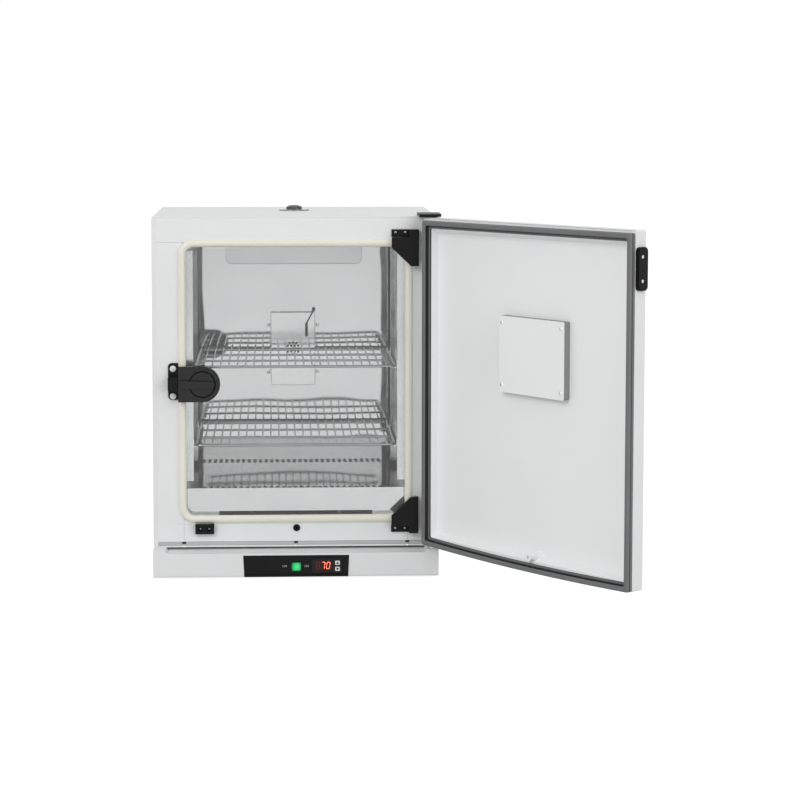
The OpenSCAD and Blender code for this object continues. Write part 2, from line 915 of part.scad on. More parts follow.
module glass_pane() {
    color("lightcyan", 0.3)
        slab(glass_y0, glass_y1)
            translate([(glass_x0 + glass_x1) / 2, (glass_z0 + glass_z1) / 2])
                rounded(glass_x1 - glass_x0, glass_z1 - glass_z0, 3);
}

// Latch

latch_z = cz - latch_drop; // height of the knob's centre
latch_x0 = glass_x0 - 0.3; // free end of the latch housing
latch_x1 = latch_x0 + latch_l;
knob_x = latch_x1 - latch_h / 2;
latch_y0 = glass_y0 - latch_t;
dish_d = 2.6; // how deep the knob's dish is sunk
bolt_h = 14;
bolt_t = 4;
bolt_y0 = latch_y0 + 3.6;
strike_w = 18.2;
strike_h = 66;
strike_up = 3.5; // the strike plate's middle above the knob
strike_x1 = latch_x0 - seam;
strike_x = strike_x1 - strike_w * 0.52;
strike_spots = [for (z = [-26.4, 22.9]) [strike_x, latch_z + strike_up + z]];
keeper_h = 24;
cam_r = bolt_throw / sqrt(2); // throws the bolt in a quarter turn
cam_pin = 3;
cam_hub = 18;
bolt_slide = 0.2; // clearance round the bolt

// The bolt has a raised tail with an upright slot for the knob's cam pin.
module bolt_outline(gap, travel) {
    tail_x = knob_x - bolt_throw / 2 - 6;
    end_x = knob_x + bolt_throw / 2 + cam_pin / 2 + 3;
    pane(latch_x0 + seam - travel - gap, latch_z - bolt_h / 2 - gap, end_x + gap,
        latch_z + bolt_h / 2 + gap);
    pane(tail_x - travel - gap, latch_z, end_x + gap, latch_z + cam_r + cam_pin + gap);
}

module latch_bolt() {
    slot_gap = 0.35;
    color("dimgray")
        difference() {
            slab(bolt_y0, bolt_y0 + bolt_t)
                bolt_outline(0, 0);
            slab(bolt_y0 - eps, bolt_y0 + bolt_t + eps)
                translate([knob_x + bolt_throw / 2, latch_z + cam_r * 0.85])
                    square([cam_pin + 2 * slot_gap, cam_pin + cam_r * 0.5], center = true);
        }
}

module latch_housing() {
    color(black)
        difference() {
            slab(latch_y0, glass_y0) {
                pane(latch_x0, latch_z - latch_h / 2, knob_x, latch_z + latch_h / 2);
                translate([knob_x, latch_z])
                    circle(d = latch_h, $fn = 96);
            }
            rod("y", [knob_x, latch_z], latch_y0 - eps, latch_y0 + dish_d, knob_dia + 2 * rest_gap);
            rod("y", [knob_x, latch_z], latch_y0, bolt_y0, cam_hub + 2 * run_gap);
            slab(bolt_y0 - bolt_slide, bolt_y0 + bolt_t + bolt_slide)
                bolt_outline(bolt_slide, bolt_throw + 1);
        }
}

knob_y0 = latch_y0 - 7.6;

// The knob's grip points to the strike when the latch is released.
module latch_knob() {
    disc_r = knob_dia / 2;
    tip_x = knob_x + disc_r - grip_l;
    turn = bolt_throw / 2;
    color(black) {
        rod("y", [knob_x, latch_z], latch_y0 - 0.4, latch_y0 + dish_d - rest_gap, knob_dia);
        rod("y", [knob_x, latch_z], latch_y0, bolt_y0 - bolt_slide - 0.1, cam_hub);
        rod("y", [knob_x + turn, latch_z + turn], latch_y0, bolt_y0 + bolt_t - 0.2, cam_pin);
        slab(knob_y0, latch_y0 - 0.4)
            polygon([[knob_x + disc_r - 1, latch_z - 5], [knob_x + disc_r - 1, latch_z + 5],
                [tip_x + 2, latch_z + 7.6], [tip_x, latch_z + 5], [tip_x, latch_z - 5],
                [tip_x + 2, latch_z - 7.6]]);
    }
}

module strike_plate() {
    mid_z = latch_z + strike_up;
    corner = 7;
    color(black)
        difference() {
            union() {
                slab(yf - 3, yf) {
                    pane(strike_x1 - strike_w + corner, mid_z - strike_h / 2, strike_x1,
                        mid_z + strike_h / 2);
                    pane(strike_x1 - strike_w, mid_z - strike_h / 2 + corner, strike_x1,
                        mid_z + strike_h / 2 - corner);
                    for (z = [-1, 1])
                        translate([strike_x1 - strike_w + corner,
                            mid_z + z * (strike_h / 2 - corner)])
                            circle(corner);
                }
                slab(latch_y0 + 0.4, yf)
                    pane(strike_x1 - strike_w, latch_z - keeper_h / 2, strike_x1,
                        latch_z + keeper_h / 2);
            }
            // channel that the bolt enters
            block([strike_x1 - bolt_throw - 1.2, bolt_y0 - 0.6, latch_z - keeper_h / 2 - eps],
                [strike_x1 + eps, bolt_y0 + bolt_t + 0.6, latch_z + keeper_h / 2 + eps]);
            for (p = strike_spots)
                rod("y", p, yf - 3 - eps, yf + eps, big_shank + 0.4);
        }
}

rest_x = glass_x0 + 45;
rest_w = 33.6;
rest_h = 18.6;
rest_spots = [for (x = [-8, 8]) [rest_x + x, glass_z0 - 10.2]];

module glass_rest() {
    high = glass_z0 - rest_gap;
    color(black)
        difference() {
            union() {
                slab(yf - 9, yf)
                    pane(rest_x - rest_w / 2, high - rest_h, rest_x + rest_w / 2, high - 3);
                slab(yf - 14, yf)
                    pane(rest_x - rest_w / 2, high - 3, rest_x + rest_w / 2, high);
            }
            for (p = rest_spots) {
                rod("y", p, yf - 9 - eps, yf + eps, small_shank + 0.4);
                rod("y", p, yf - 9 - eps, yf - 3, small_head + 0.6);
            }
        }
}

contact_x = 1.2;
contact_z = cz0 - 24;
contact_dia = 12.6;

module door_contact() {
    color(black)
        difference() {
            union() {
                rod("y", [contact_x, contact_z], yf - 1.6, yf, contact_dia);
                rod("y", [contact_x, contact_z], yf, yf + 9, contact_dia * 0.8 - 0.2);
            }
            rod("y", [contact_x, contact_z], yf - 2, yf + 6, contact_dia * 0.42);
        }
}

// Outer door, drawn closed and then swung open about its pivot

door_w = cab_w;
pivot_x = cab_w / 2 - pivot_in;
pivot_y = yf - pivot_out;
rim_y = yf - seal_gap - gasket_t; // inner rim of the shell, closed
skin_y = rim_y - shell_d;
door_z1 = zt - 1.5;
door_z0 = zb + door_up;
door_h = door_z1 - door_z0;
door_z = (door_z0 + door_z1) / 2;
gasket_x0 = -cab_w / 2 + 1; // outer edge on the free side
gasket_x1 = cab_w / 2 - 8; // outer edge on the hinge side
gasket_z0 = door_z0 + 0.2;
gasket_z1 = door_z1 - 4.7;
gasket_r = 3;
shell_t = 1.2;
pan_t = 1;
pan_floor_y = rim_y - pan_d;
lip_x0 = gasket_x0 + gasket_w + gasket_lip; // inner edge of the seal
lip_x1 = gasket_x1 - gasket_w - gasket_lip;
lip_z0 = gasket_z0 + gasket_w + gasket_lip;
lip_z1 = gasket_z1 - gasket_w - gasket_lip;

module swung() {
    translate([pivot_x, pivot_y, 0])
        rotate([0, 0, door_open])
            translate([-pivot_x, -pivot_y, 0])
                children();
}

// The shell: a shallow sheet box, with a bush at both ends of its pivot.
module door_shell() {
    bush_l = 12;
    color(white)
        swung()
            difference() {
                union() {
                    difference() {
                        slab(skin_y, rim_y)
                            translate([0, door_z])
                                rounded(door_w, door_h, 2.5);
                        slab(skin_y + shell_t, rim_y + eps)
                            translate([0, door_z])
                                square([door_w, door_h] - [1, 1] * 2 * shell_t, center = true);
                    }
                    for (z = [door_z0, door_z1 - shell_t - bush_l])
                        rod("z", [pivot_x, pivot_y], z + 0.2, z + bush_l + 1, door_bush_dia);
                }
                for (z = [door_z0, door_z1 - shell_t - bush_l])
                    rod("z", [pivot_x, pivot_y], z - 1, z + bush_l + 3,
                        door_pin_dia + 2 * run_gap);
                for (z = handle_screws_z)
                    rod("x", [handle_y, z], -door_w / 2 - eps, -door_w / 2 + 3, small_shank + 0.4);
            }
}

// The pan: a flange under the seal and a hollow that slopes at its top and bottom,
// pressed from one sheet.
module pan_block(inset, y_top, y_low) {
    low = lip_z0 + inset;
    high = lip_z1 - inset;
    bar_x(lip_x0 + inset, lip_x1 - inset)
        polygon([[y_top, low], [y_top, high], [y_low, high - pan_slope], [y_low, low + pan_slope]]);
}

module door_pan() {
    inner = shell_t + rest_gap;
    color("whitesmoke")
        swung()
            difference() {
                union() {
                    slab(rim_y - pan_t, rim_y)
                        translate([0, door_z])
                            square([door_w, door_h] - [1, 1] * 2 * inner, center = true);
                    pan_block(-pan_t, rim_y - pan_t, pan_floor_y - pan_t);
                }
                pan_block(0, rim_y + 0.01, pan_floor_y);
                for (p = cover_spots)
                    rod("y", p, pan_floor_y - pan_t - eps, pan_floor_y + eps, small_shank + 0.4);
            }
}

module door_insulation() {
    edge = shell_t + rest_gap;
    color("khaki")
        swung()
            slab(skin_y + edge, pan_floor_y - pan_t - 1.2)
                pane(-door_w / 2 + edge + 4, door_z0 + edge + 4, pivot_x - 16, door_z1 - edge - 4);
}

module gasket_profile() {
    // the crown on the outer side, the lip on the inner side
    r = 2.5;
    translate([gasket_lip, 0]) {
        translate([0, 0])
            square([gasket_w, gasket_t - r]);
        translate([r, 0])
            square([gasket_w - 2 * r, gasket_t]);
        for (x = [r, gasket_w - r])
            translate([x, gasket_t - r])
                circle(r);
    }
    square([gasket_lip + 1, gasket_t * 0.3]);
    translate([0, 0])
        square([2.4, gasket_t * 0.55]);
}

module door_gasket() {
    w = lip_x1 - lip_x0;
    h = lip_z1 - lip_z0;
    color("dimgray")
        swung()
            translate([(lip_x0 + lip_x1) / 2, 0, (lip_z0 + lip_z1) / 2])
                mirror([0, 1, 0])
                    profile_frame(w, h, gasket_r, -rim_y)
                        gasket_profile();
}

cover_x = -16; // middle of the cover plate, measured on the closed door
cover_z = cz + 69;
cover_spots = [for (x = [-1, 1], z = [-1, 1])
    [cover_x + x * (cover_w / 2 - 7), cover_z + z * (cover_h / 2 - 12)]];

module door_cover_plate() {
    color(white)
        swung()
            difference() {
                slab(pan_floor_y, pan_floor_y + cover_t)
                    translate([cover_x, cover_z])
                        rounded(cover_w, cover_h, 3);
                slab(pan_floor_y - eps, pan_floor_y + cover_t - 2)
                    translate([cover_x, cover_z])
                        square([cover_w - 28, cover_h - 4], center = true);
                for (p = cover_spots)
                    rod("y", p, pan_floor_y - eps, pan_floor_y + cover_t + eps, small_shank + 0.4);
            }
}

buffer_x = -25;
buffer_z = lip_z0 + 7.4;
buffer_dia = 13.6;

// A buffer on the pan's floor, cut to the slope beside it.
module door_buffer() {
    y1 = yf - 2;
    color("lightgray")
        swung()
            difference() {
                rod("y", [buffer_x, buffer_z], pan_floor_y, y1, buffer_dia);
                rod("y", [buffer_x, buffer_z], y1 - 5, y1 + eps, buffer_dia * 0.4);
                bar_x(buffer_x - buffer_dia, buffer_x + buffer_dia)
                    polygon([[pan_floor_y - 1, lip_z0 + pan_slope], [pan_floor_y,
                        lip_z0 + pan_slope], [rim_y, lip_z0], [rim_y, lip_z0 - buffer_dia],
                        [pan_floor_y - 1, lip_z0 - buffer_dia]]);
            }
}

handle_z = zt - 63.5;
handle_y = (rim_y + skin_y) / 2;
handle_t = 6.5;
handle_screws_z = [handle_z - 19.5, handle_z + 19.5];

// A pad with a stepped edge on the free side of the door.
module door_handle() {
    edge = 1.6;
    color(black)
        swung()
            difference() {
                union() {
                    bar_x(-door_w / 2 - handle_t + edge, -door_w / 2)
                        translate([handle_y, handle_z])
                            rounded(shell_d, handle_h, 7);
                    bar_x(-door_w / 2 - handle_t, -door_w / 2 - handle_t + edge)
                        translate([handle_y, handle_z])
                            rounded(shell_d - 2 * edge, handle_h - 2 * edge, 7 - edge);
                }
                for (z = handle_screws_z) {
                    rod("x", [handle_y, z], -door_w / 2 - handle_t - eps, -door_w / 2 + eps,
                        small_shank + 0.4);
                    rod("x", [handle_y, z], -door_w / 2 - handle_t - eps, -door_w / 2 - 4,
                        small_head + 0.6);
                }
            }
}

module door_screws() {
    color("gainsboro")
        swung() {
            for (p = cover_spots)
                translate([p[0], pan_floor_y + cover_t, p[1]])
                    rotate([0, 0, 180])
                        screw(small_head, 1.8, small_shank, cover_t + pan_t);
            for (z = handle_screws_z)
                translate([-door_w / 2 - 4, handle_y, z])
                    rotate([0, 0, -90])
                        screw(small_head, 1.8, small_shank, 6);
        }
}

// The outer door's two hinge pieces, with their pins on the pivot axis

door_bush_dia = 11;
door_pin_dia = 7;
cap_w = 39.3;
cap_d = 71.7;
cap_t = 4.9;
cap_x1 = cab_w / 2 + 2.9;
cap_drop = 1;

module door_hinge_cap() {
    cap_y0 = pivot_y - 10.3;
    corner = 9;
    color(black) {
        rise(zt, zt + cap_t) {
            pane(cap_x1 - cap_w, cap_y0, cap_x1 - corner, cap_y0 + cap_d);
            pane(cap_x1 - cap_w, cap_y0 + corner, cap_x1, cap_y0 + cap_d);
            translate([cap_x1 - corner, cap_y0 + corner])
                circle(corner);
        }
        rise(zt - cap_drop, zt)
            pane(cap_x1 - cap_w, cap_y0 + corner, cap_x1 - corner, yf - 2);
        rod("z", [pivot_x, pivot_y], zt - 14, zt, door_pin_dia);
    }
}

module door_hinge_foot() {
    z0 = ledge_z + block_h;
    color("darkslategray") {
        rod("z", [pivot_x, pivot_y], z0, z0 + 2, 16);
        rod("z", [pivot_x, pivot_y], z0, door_z0 - rest_gap, door_bush_dia);
        rod("z", [pivot_x, pivot_y], z0, door_z0 + 13, door_pin_dia);
    }
}

// Base

base_y0 = yf - base_out;
base_t = 1.8;
panel_z = foot_h + 21.2;
inlet_x = base_w / 2 - 84.7;
inlet_z = foot_h + 22;
inlet_w = 30;
inlet_h = 22;
spacer = 60;

module base_housing() {
    color(white)
        difference() {
            union() {
                slab(base_y0, yb)
                    pane(-base_w / 2, foot_h + case_t, base_w / 2, ledge_z);
                for (side = [0, 1])
                    mirror([side, 0, 0])
                        slab(base_y0, yf - 1.5)
                            polygon([[base_w / 2 - block_w - block_h * 0.4, ledge_z - 1],
                                [base_w / 2, ledge_z - 1], [base_w / 2, ledge_z + block_h],
                                [base_w / 2 - block_w, ledge_z + block_h],
                                [base_w / 2 - block_w - block_h * 0.4, ledge_z]]);
                for (x = [-1, 1], y = [yf + 50, yb - 50])
                    block([x * (cab_w / 2 - spacer) - 20, y - 20, ledge_z - 1],
                        [x * (cab_w / 2 - spacer) + 20, y + 20, zb]);
            }
            block([-base_w / 2 + base_t, base_y0 + base_t, foot_h - 1],
                [base_w / 2 - base_t, yb - base_t, ledge_z - base_t]);
            slab(base_y0 - eps, base_y0 + base_t + eps)
                polygon([[-panel_w / 2, panel_z - panel_h / 2], [panel_w / 2, panel_z - panel_h / 2],
                    [panel_w / 2 + 1.6, panel_z + panel_h / 2],
                    [-panel_w / 2 - 1.6, panel_z + panel_h / 2]]);
            slab(yb - base_t - eps, yb + eps)
                translate([inlet_x, inlet_z])
                    square([inlet_w + 2 * rest_gap, inlet_h + 2 * rest_gap], center = true);
        }
}

module base_tray() {
    color("lightgray") {
        difference() {
            block([-base_w / 2, base_y0, foot_h], [base_w / 2, yb, foot_h + case_t]);
            for (x = [-90:30:90], y = [-40, 0, 40])
                rise(foot_h - eps, foot_h + case_t + eps)
                    translate([x, y])
                        rounded(20, 5, 2.4);
        }
    }
}

foot_x = cab_w / 2 - 45;
foot_front_y = base_y0 + 58;
foot_back_y = yb - 40;

module feet() {
    color(black)
        for (x = [-foot_x, foot_x], y = [foot_front_y, foot_back_y])
            translate([x, y, 0])
                cylinder(d1 = foot_dia - 3, d2 = foot_dia, h = foot_h);
}

panel_y0 = base_y0 + base_t;
panel_t = 2;
unit_z = panel_z - 1.4;
switch_w = rocker_w + 5;
switch_h = rocker_h + 4.6;
switch_z = panel_z - 3.1;
body_gap = 0.3;

module control_panel() {
    color(black)
        difference() {
            slab(panel_y0, panel_y0 + panel_t)
                pane(-panel_w / 2 - 6, foot_h + case_t + rest_gap, panel_w / 2 + 6,
                    ledge_z - base_t - rest_gap);
            slab(panel_y0 - eps, panel_y0 + panel_t + eps) {
                translate([0, switch_z])
                    square([rocker_w + 2.6, rocker_h + 2.6], center = true);
                translate([unit_x, unit_z])
                    square([unit_w - 4, unit_h - 4], center = true);
            }
        }
}

// The switch: a bezel on the panel and a hollow body behind it.
bezel_t = 2.2;
rocker_pivot_y = panel_y0 + 1.4;

module switch_bezel() {
    color(black)
        difference() {
            union() {
                slab(panel_y0 - bezel_t, panel_y0)
                    translate([0, switch_z])
                        rounded(switch_w, switch_h, 1.5);
                slab(panel_y0, panel_y0 + 20)
                    translate([0, switch_z])
                        square([rocker_w + 2, rocker_h + 2], center = true);
            }
            slab(panel_y0 - bezel_t - eps, panel_y0 + 12)
                translate([0, switch_z])
                    square([rocker_w + 2 * rest_gap, rocker_h + 2 * rest_gap], center = true);
        }
}

// The rocker turns about an upright axis, and its right half is pressed in at rest.
module power_rocker() {
    color("limegreen")
        translate([0, rocker_pivot_y, switch_z])
            rotate([0, 0, rocker_tilt])
                translate([0, 0, -rocker_h / 2])
                    linear_extrude(rocker_h)
                        intersection() {
                            circle(d = rocker_w, $fn = 96);
                            polygon([[-rocker_w, -6], [0, -3.6], [rocker_w, -6], [rocker_w, 5],
                                [-rocker_w, 5]]);
                        }
}

unit_t = 2.6;
win_inset = 5.3;
window_w = 31;
window_h = 19;
window_x = unit_x - unit_w / 2 + win_inset + window_w / 2;
key_x = unit_x + unit_w / 2 - 7.8;
key_up_z = unit_z + 5;
key_down_z = unit_z - 5.9;
key_travel = 0.8;

module controller_case() {
    color(black)
        difference() {
            union() {
                slab(panel_y0 - unit_t, panel_y0)
                    translate([unit_x, unit_z])
                        rounded(unit_w, unit_h, 2);
                slab(panel_y0, panel_y0 + 38)
                    translate([unit_x, unit_z])
                        square([unit_w - 4 - 2 * body_gap, unit_h - 4 - 2 * body_gap],
                            center = true);
            }
            slab(panel_y0 - unit_t - eps, panel_y0 - 0.6)
                translate([window_x, unit_z])
                    square([window_w, window_h], center = true);
            for (z = [key_up_z, key_down_z])
                slab(panel_y0 - unit_t - eps, panel_y0 + 3)
                    translate([key_x, z])
                        rounded(key_w + 2 * body_gap, key_h + 2 * body_gap, 2);
        }
}

module display_window() {
    color("#301010")
        slab(panel_y0 - unit_t + 0.4, panel_y0 - 0.6)
            translate([window_x, unit_z])
                square([window_w - 0.4, window_h - 0.4], center = true);
}

module key(z) {
    color(white)
        slab(panel_y0 - unit_t - 1, panel_y0 + 3 - key_travel - 0.4)
            translate([key_x, z])
                rounded(key_w, key_h, 1.8);
}

module up_button() {
    key(key_up_z);
}

module down_button() {
    key(key_down_z);
}

// A recessed three-pin inlet in the back of the base.
module mains_inlet() {
    cavity_d = 15;
    color(black) {
        difference() {
            union() {
                slab(yb, yb + 2)
                    translate([inlet_x, inlet_z])
                        rounded(inlet_w + 8, inlet_h + 5, 3);
                slab(yb - cavity_d - 3, yb)
                    translate([inlet_x, inlet_z])
                        square([inlet_w, inlet_h], center = true);
            }
            slab(yb - cavity_d, yb + 2 + eps)
                translate([inlet_x, inlet_z])
                    square([24, 16.4], center = true);
        }
        for (p = [[-7, -2], [7, -2], [0, 2]])
            slab(yb - cavity_d - 1, yb - 5)
                translate([inlet_x + p[0], inlet_z + p[1]])
                    square([2, 4], center = true);
    }
}

// Screws on the cabinet: the two big heads hold the strike plate.
module frame_screws() {
    color("gainsboro") {
        for (p = strike_spots)
            translate([p[0], yf - 3, p[1]])
                screw(big_head, 2.2, big_shank, 3 + case_t);
        for (p = concat(bracket_top_spots, bracket_low_spots))
            translate([p[0], yf - 3, p[1]])
                screw(small_head * 0.8, 1.6, small_shank, 3 + case_t);
        for (p = rest_spots)
            translate([p[0], yf - 3, p[1]])
                screw(small_head, 1.8, small_shank, 3 + case_t);
    }
}

module panel_screws() {
    color(steel) {
        for (p = fan_cover_spots)
            translate([p[0], y_wall - cover_sheet, p[1]])
                screw(small_head, 1.8, small_shank, cover_sheet + liner_t + 2);
        for (p = back_spots)
            translate([p[0], yb, p[1]])
                rotate([0, 0, 180])
                    screw(small_head, 1.8, small_shank, case_t);
    }
}

outer_case();
back_panel();
top_rail();
left_stile();
right_stile();
bottom_rail();
plinth_strip();
chamber_liner();
insulation();
chamber_seal();
floor_plate();
fan_cover();
vent_baffle();
temperature_probe();
fan_motor();
heating_element();
left_uprights();
right_uprights();
upper_runners();
lower_runners();
vent_flange();
glass_hinge_top();
glass_hinge_bottom();
strike_plate();
glass_rest();
door_contact();
door_hinge_cap();
door_hinge_foot();
base_housing();
base_tray();
feet();
control_panel();
switch_bezel();
controller_case();
display_window();
mains_inlet();
frame_screws();
panel_screws();
fan_wheel();
upper_shelf();
lower_shelf();
glass_pane();
glass_clamp_top();
glass_clamp_bottom();
latch_housing();
latch_knob();
latch_bolt();
door_shell();
door_pan();
door_gasket();
door_insulation();
door_cover_plate();
door_buffer();
door_handle();
door_screws();
power_rocker();
up_button();
down_button();
vent_cap();
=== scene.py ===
# %% [markdown]
# A laboratory incubator, dressed in cells. The frame that loads first is the solid model: its
# nodes keep their places and get finishes here. What a solid can't show well is made as a new
# piece: the folded seals, screw heads with a cross recess, thin trim, and the lit digits.

# %% Load the frame
import json
import math

import bpy
import numpy as np
from mathutils import Matrix, Vector


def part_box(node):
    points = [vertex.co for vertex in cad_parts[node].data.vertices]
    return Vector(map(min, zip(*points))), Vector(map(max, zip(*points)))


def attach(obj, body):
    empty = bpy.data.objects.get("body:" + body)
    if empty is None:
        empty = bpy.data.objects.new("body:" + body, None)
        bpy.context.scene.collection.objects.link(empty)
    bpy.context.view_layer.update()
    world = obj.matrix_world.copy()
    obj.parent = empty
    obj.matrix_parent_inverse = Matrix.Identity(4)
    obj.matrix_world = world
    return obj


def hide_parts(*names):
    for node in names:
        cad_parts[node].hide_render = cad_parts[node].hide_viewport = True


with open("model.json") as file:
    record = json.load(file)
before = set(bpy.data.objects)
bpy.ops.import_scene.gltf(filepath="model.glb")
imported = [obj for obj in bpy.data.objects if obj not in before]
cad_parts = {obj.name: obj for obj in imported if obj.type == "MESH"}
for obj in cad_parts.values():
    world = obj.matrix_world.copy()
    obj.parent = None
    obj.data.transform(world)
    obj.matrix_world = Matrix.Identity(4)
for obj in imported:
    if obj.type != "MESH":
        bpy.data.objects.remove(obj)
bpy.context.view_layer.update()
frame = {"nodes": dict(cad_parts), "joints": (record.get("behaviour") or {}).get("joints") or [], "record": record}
nodes = frame["nodes"]
MM = 0.001
FACE_Y = -0.180  # front face of the cabinet's frame

# %% [markdown]
# The camera stands about four metres off and above the cabinet's top, so the top face shows as a
# thin strip. It is turned a little to the right and tilted a little down, and a small shift sets
# where the object lies in the picture.

# %% Camera
CAMERA_AT = Vector((-0.0364, -4.0075, 0.8424))
TURN_RIGHT = 0.0396  # radians
TILT_DOWN = 0.0809  # radians
FOCAL_SHARE = 2154 / 800  # focal length as a share of the picture's width
SENSOR = 36.0
SHIFT_X, SHIFT_Y = 0.05, -0.15

camera_data = bpy.data.cameras.new("camera")
camera_data.sensor_width = SENSOR
camera_data.lens = FOCAL_SHARE * SENSOR
camera_data.shift_x = SHIFT_X
camera_data.shift_y = SHIFT_Y
camera = bpy.data.objects.new("camera", camera_data)
camera.location = CAMERA_AT
camera.rotation_euler = (math.pi / 2 - TILT_DOWN, 0, -TURN_RIGHT)
bpy.context.scene.collection.objects.link(camera)
bpy.context.scene.camera = camera
bpy.context.scene.view_settings.view_transform = "Standard"
print("lens of", round(camera_data.lens, 1), "mm on a sensor of", SENSOR, "mm")

# %% [markdown]
# A small kit for node trees. Each finish is the Principled shader with its plain values on the
# shader's own sockets, and noise on Object coordinates for what varies over the surface. Painted
# images could do that too, but they need a seam somewhere, and noise has none at any distance.


# %% Node kit
def new_material(name):
    """An empty material: returns it with its node tree, its output and a Principled shader."""
    material = bpy.data.materials.new(name)
    material.use_nodes = True
    tree = material.node_tree
    tree.nodes.clear()
    out = tree.nodes.new("ShaderNodeOutputMaterial")
    shader = tree.nodes.new("ShaderNodeBsdfPrincipled")
    tree.links.new(shader.outputs["BSDF"], out.inputs["Surface"])
    return material, tree, out, shader


def opaque(colour):
    """A colour as a socket takes it, with full opacity."""
    return (*colour, 1)


def feed(tree, value, socket):
    """Gives a socket a link where the value is a node's output, and a plain value otherwise."""
    if isinstance(value, bpy.types.NodeSocket):
        tree.links.new(value, socket)
    else:
        socket.default_value = value


def maths(tree, operation, *values):
    """One Math node on its values, which are numbers or outputs."""
    node = tree.nodes.new("ShaderNodeMath")
    node.operation = operation
    for socket, value in zip(node.inputs, values):
        feed(tree, value, socket)
    return node.outputs[0]


def noise(tree, scale, stretch=(1, 1, 1), detail=3.0):
    """Noise on Object coordinates, from 0 to 1: scale counts blobs a metre."""
    where = tree.nodes.new("ShaderNodeTexCoord")
    mapping = tree.nodes.new("ShaderNodeMapping")
    mapping.inputs["Scale"].default_value = stretch
    texture = tree.nodes.new("ShaderNodeTexNoise")
    texture.inputs["Scale"].default_value = scale
    texture.inputs["Detail"].default_value = detail
    tree.links.new(where.outputs["Object"], mapping.inputs["Vector"])
    tree.links.new(mapping.outputs["Vector"], texture.inputs["Vector"])
    return texture.outputs["Fac"]


NOISE_LOW, NOISE_HIGH = 0.3, 0.7  # a noise seldom leaves this range


def ranged(tree, value, low, high):
    """Maps a noise's usual range to low to high."""
    node = tree.nodes.new("ShaderNodeMapRange")
    node.inputs["From Min"].default_value = NOISE_LOW
    node.inputs["From Max"].default_value = NOISE_HIGH
    node.inputs["To Min"].default_value = low
    node.inputs["To Max"].default_value = high
    tree.links.new(value, node.inputs["Value"])
    return node.outputs["Result"]


print("noise of", NOISE_LOW, "to", NOISE_HIGH, "is spread over each value's own range")

# %% [markdown]
# A finish has a slight mottle in its colour and its gloss, and a fine grain in its bump. Some
# have dark lines too, along a fold or on the walls of small holes, where light hardly gets. Each
# such line is a thin box in space: the colour is darker wherever the surface lies inside it.

# %% Colour and bump
MIX_A, MIX_B, MIX_RESULT = 6, 7, 2  # the colour sockets of a Mix node, by number


def blend_colours(tree, factor, first, second):
    """Mixes two colours by a factor."""
    mix = tree.nodes.new("ShaderNodeMix")
    mix.data_type = "RGBA"
    feed(tree, first, mix.inputs[MIX_A])
    feed(tree, second, mix.inputs[MIX_B])
    feed(tree, factor, mix.inputs[0])
    return mix.outputs[MIX_RESULT]


def bump(tree, height, strength, distance, under=None):
    """A bump from a height, on top of another bump if one is given."""
    node = tree.nodes.new("ShaderNodeBump")
    node.inputs["Strength"].default_value = strength
    node.inputs["Distance"].default_value = distance
    tree.links.new(height, node.inputs["Height"])
    if under is not None:
        tree.links.new(under, node.inputs["Normal"])
    return node.outputs["Normal"]


def inside_box(tree, centre, halves, space):
    """1 where each coordinate is within half a side of the box's centre, and 0 elsewhere."""
    where = tree.nodes.new("ShaderNodeTexCoord")
    split = tree.nodes.new("ShaderNodeSeparateXYZ")
    tree.links.new(where.outputs[space], split.inputs[0])
    near = [maths(tree, "COMPARE", split.outputs[axis], place, half)
            for axis, place, half in zip("XYZ", centre, halves)]
    return maths(tree, "MULTIPLY", maths(tree, "MULTIPLY", near[0], near[1]), near[2])


def finish_of(name, colour, rough, metal=0.0, mottle=0.03, mottle_scale=9, rough_swing=0.04,
              grain=700, grain_depth=0.00005, grain_strength=0.3, stretch=(1, 1, 1),
              wave=None, specular=0.5, shade_boxes=(), shade_space="Object"):
    """A whole finish: colour with mottle, gloss that varies, grain, and a slow wave if asked.

    A wave is its blobs a metre and its depth. Shade boxes are boxes of painted shade, in which the colour is
    darker, as (centre, halves, share of the colour left), in Object coordinates or on the UV map.
    """
    material, tree, out, shader = new_material(name)
    dark = [c * (1 - mottle) for c in colour]
    light = [min(1, c * (1 + mottle)) for c in colour]
    slow = ranged(tree, noise(tree, mottle_scale), 0, 1)
    shade = blend_colours(tree, slow, opaque(dark), opaque(light))
    # painted shade: the colour is darkened inside each shade box
    for centre, halves, share in shade_boxes:
        painted_dark = opaque([c * share for c in colour])
        shade = blend_colours(tree, inside_box(tree, centre, halves, shade_space), shade, painted_dark)
    tree.links.new(shade, shader.inputs["Base Color"])
    shader.inputs["Metallic"].default_value = metal
    shader.inputs["Specular IOR Level"].default_value = specular
    gloss = noise(tree, mottle_scale * 5, stretch)
    tree.links.new(ranged(tree, gloss, rough - rough_swing, rough + rough_swing),
                   shader.inputs["Roughness"])
    under = bump(tree, noise(tree, wave[0], detail=1.0), 1.0, wave[1]) if wave else None
    normal = bump(tree, noise(tree, grain, stretch), grain_strength, grain_depth, under)
    tree.links.new(normal, shader.inputs["Normal"])
    return material


print("a colour leaves a Mix node by socket", MIX_RESULT)
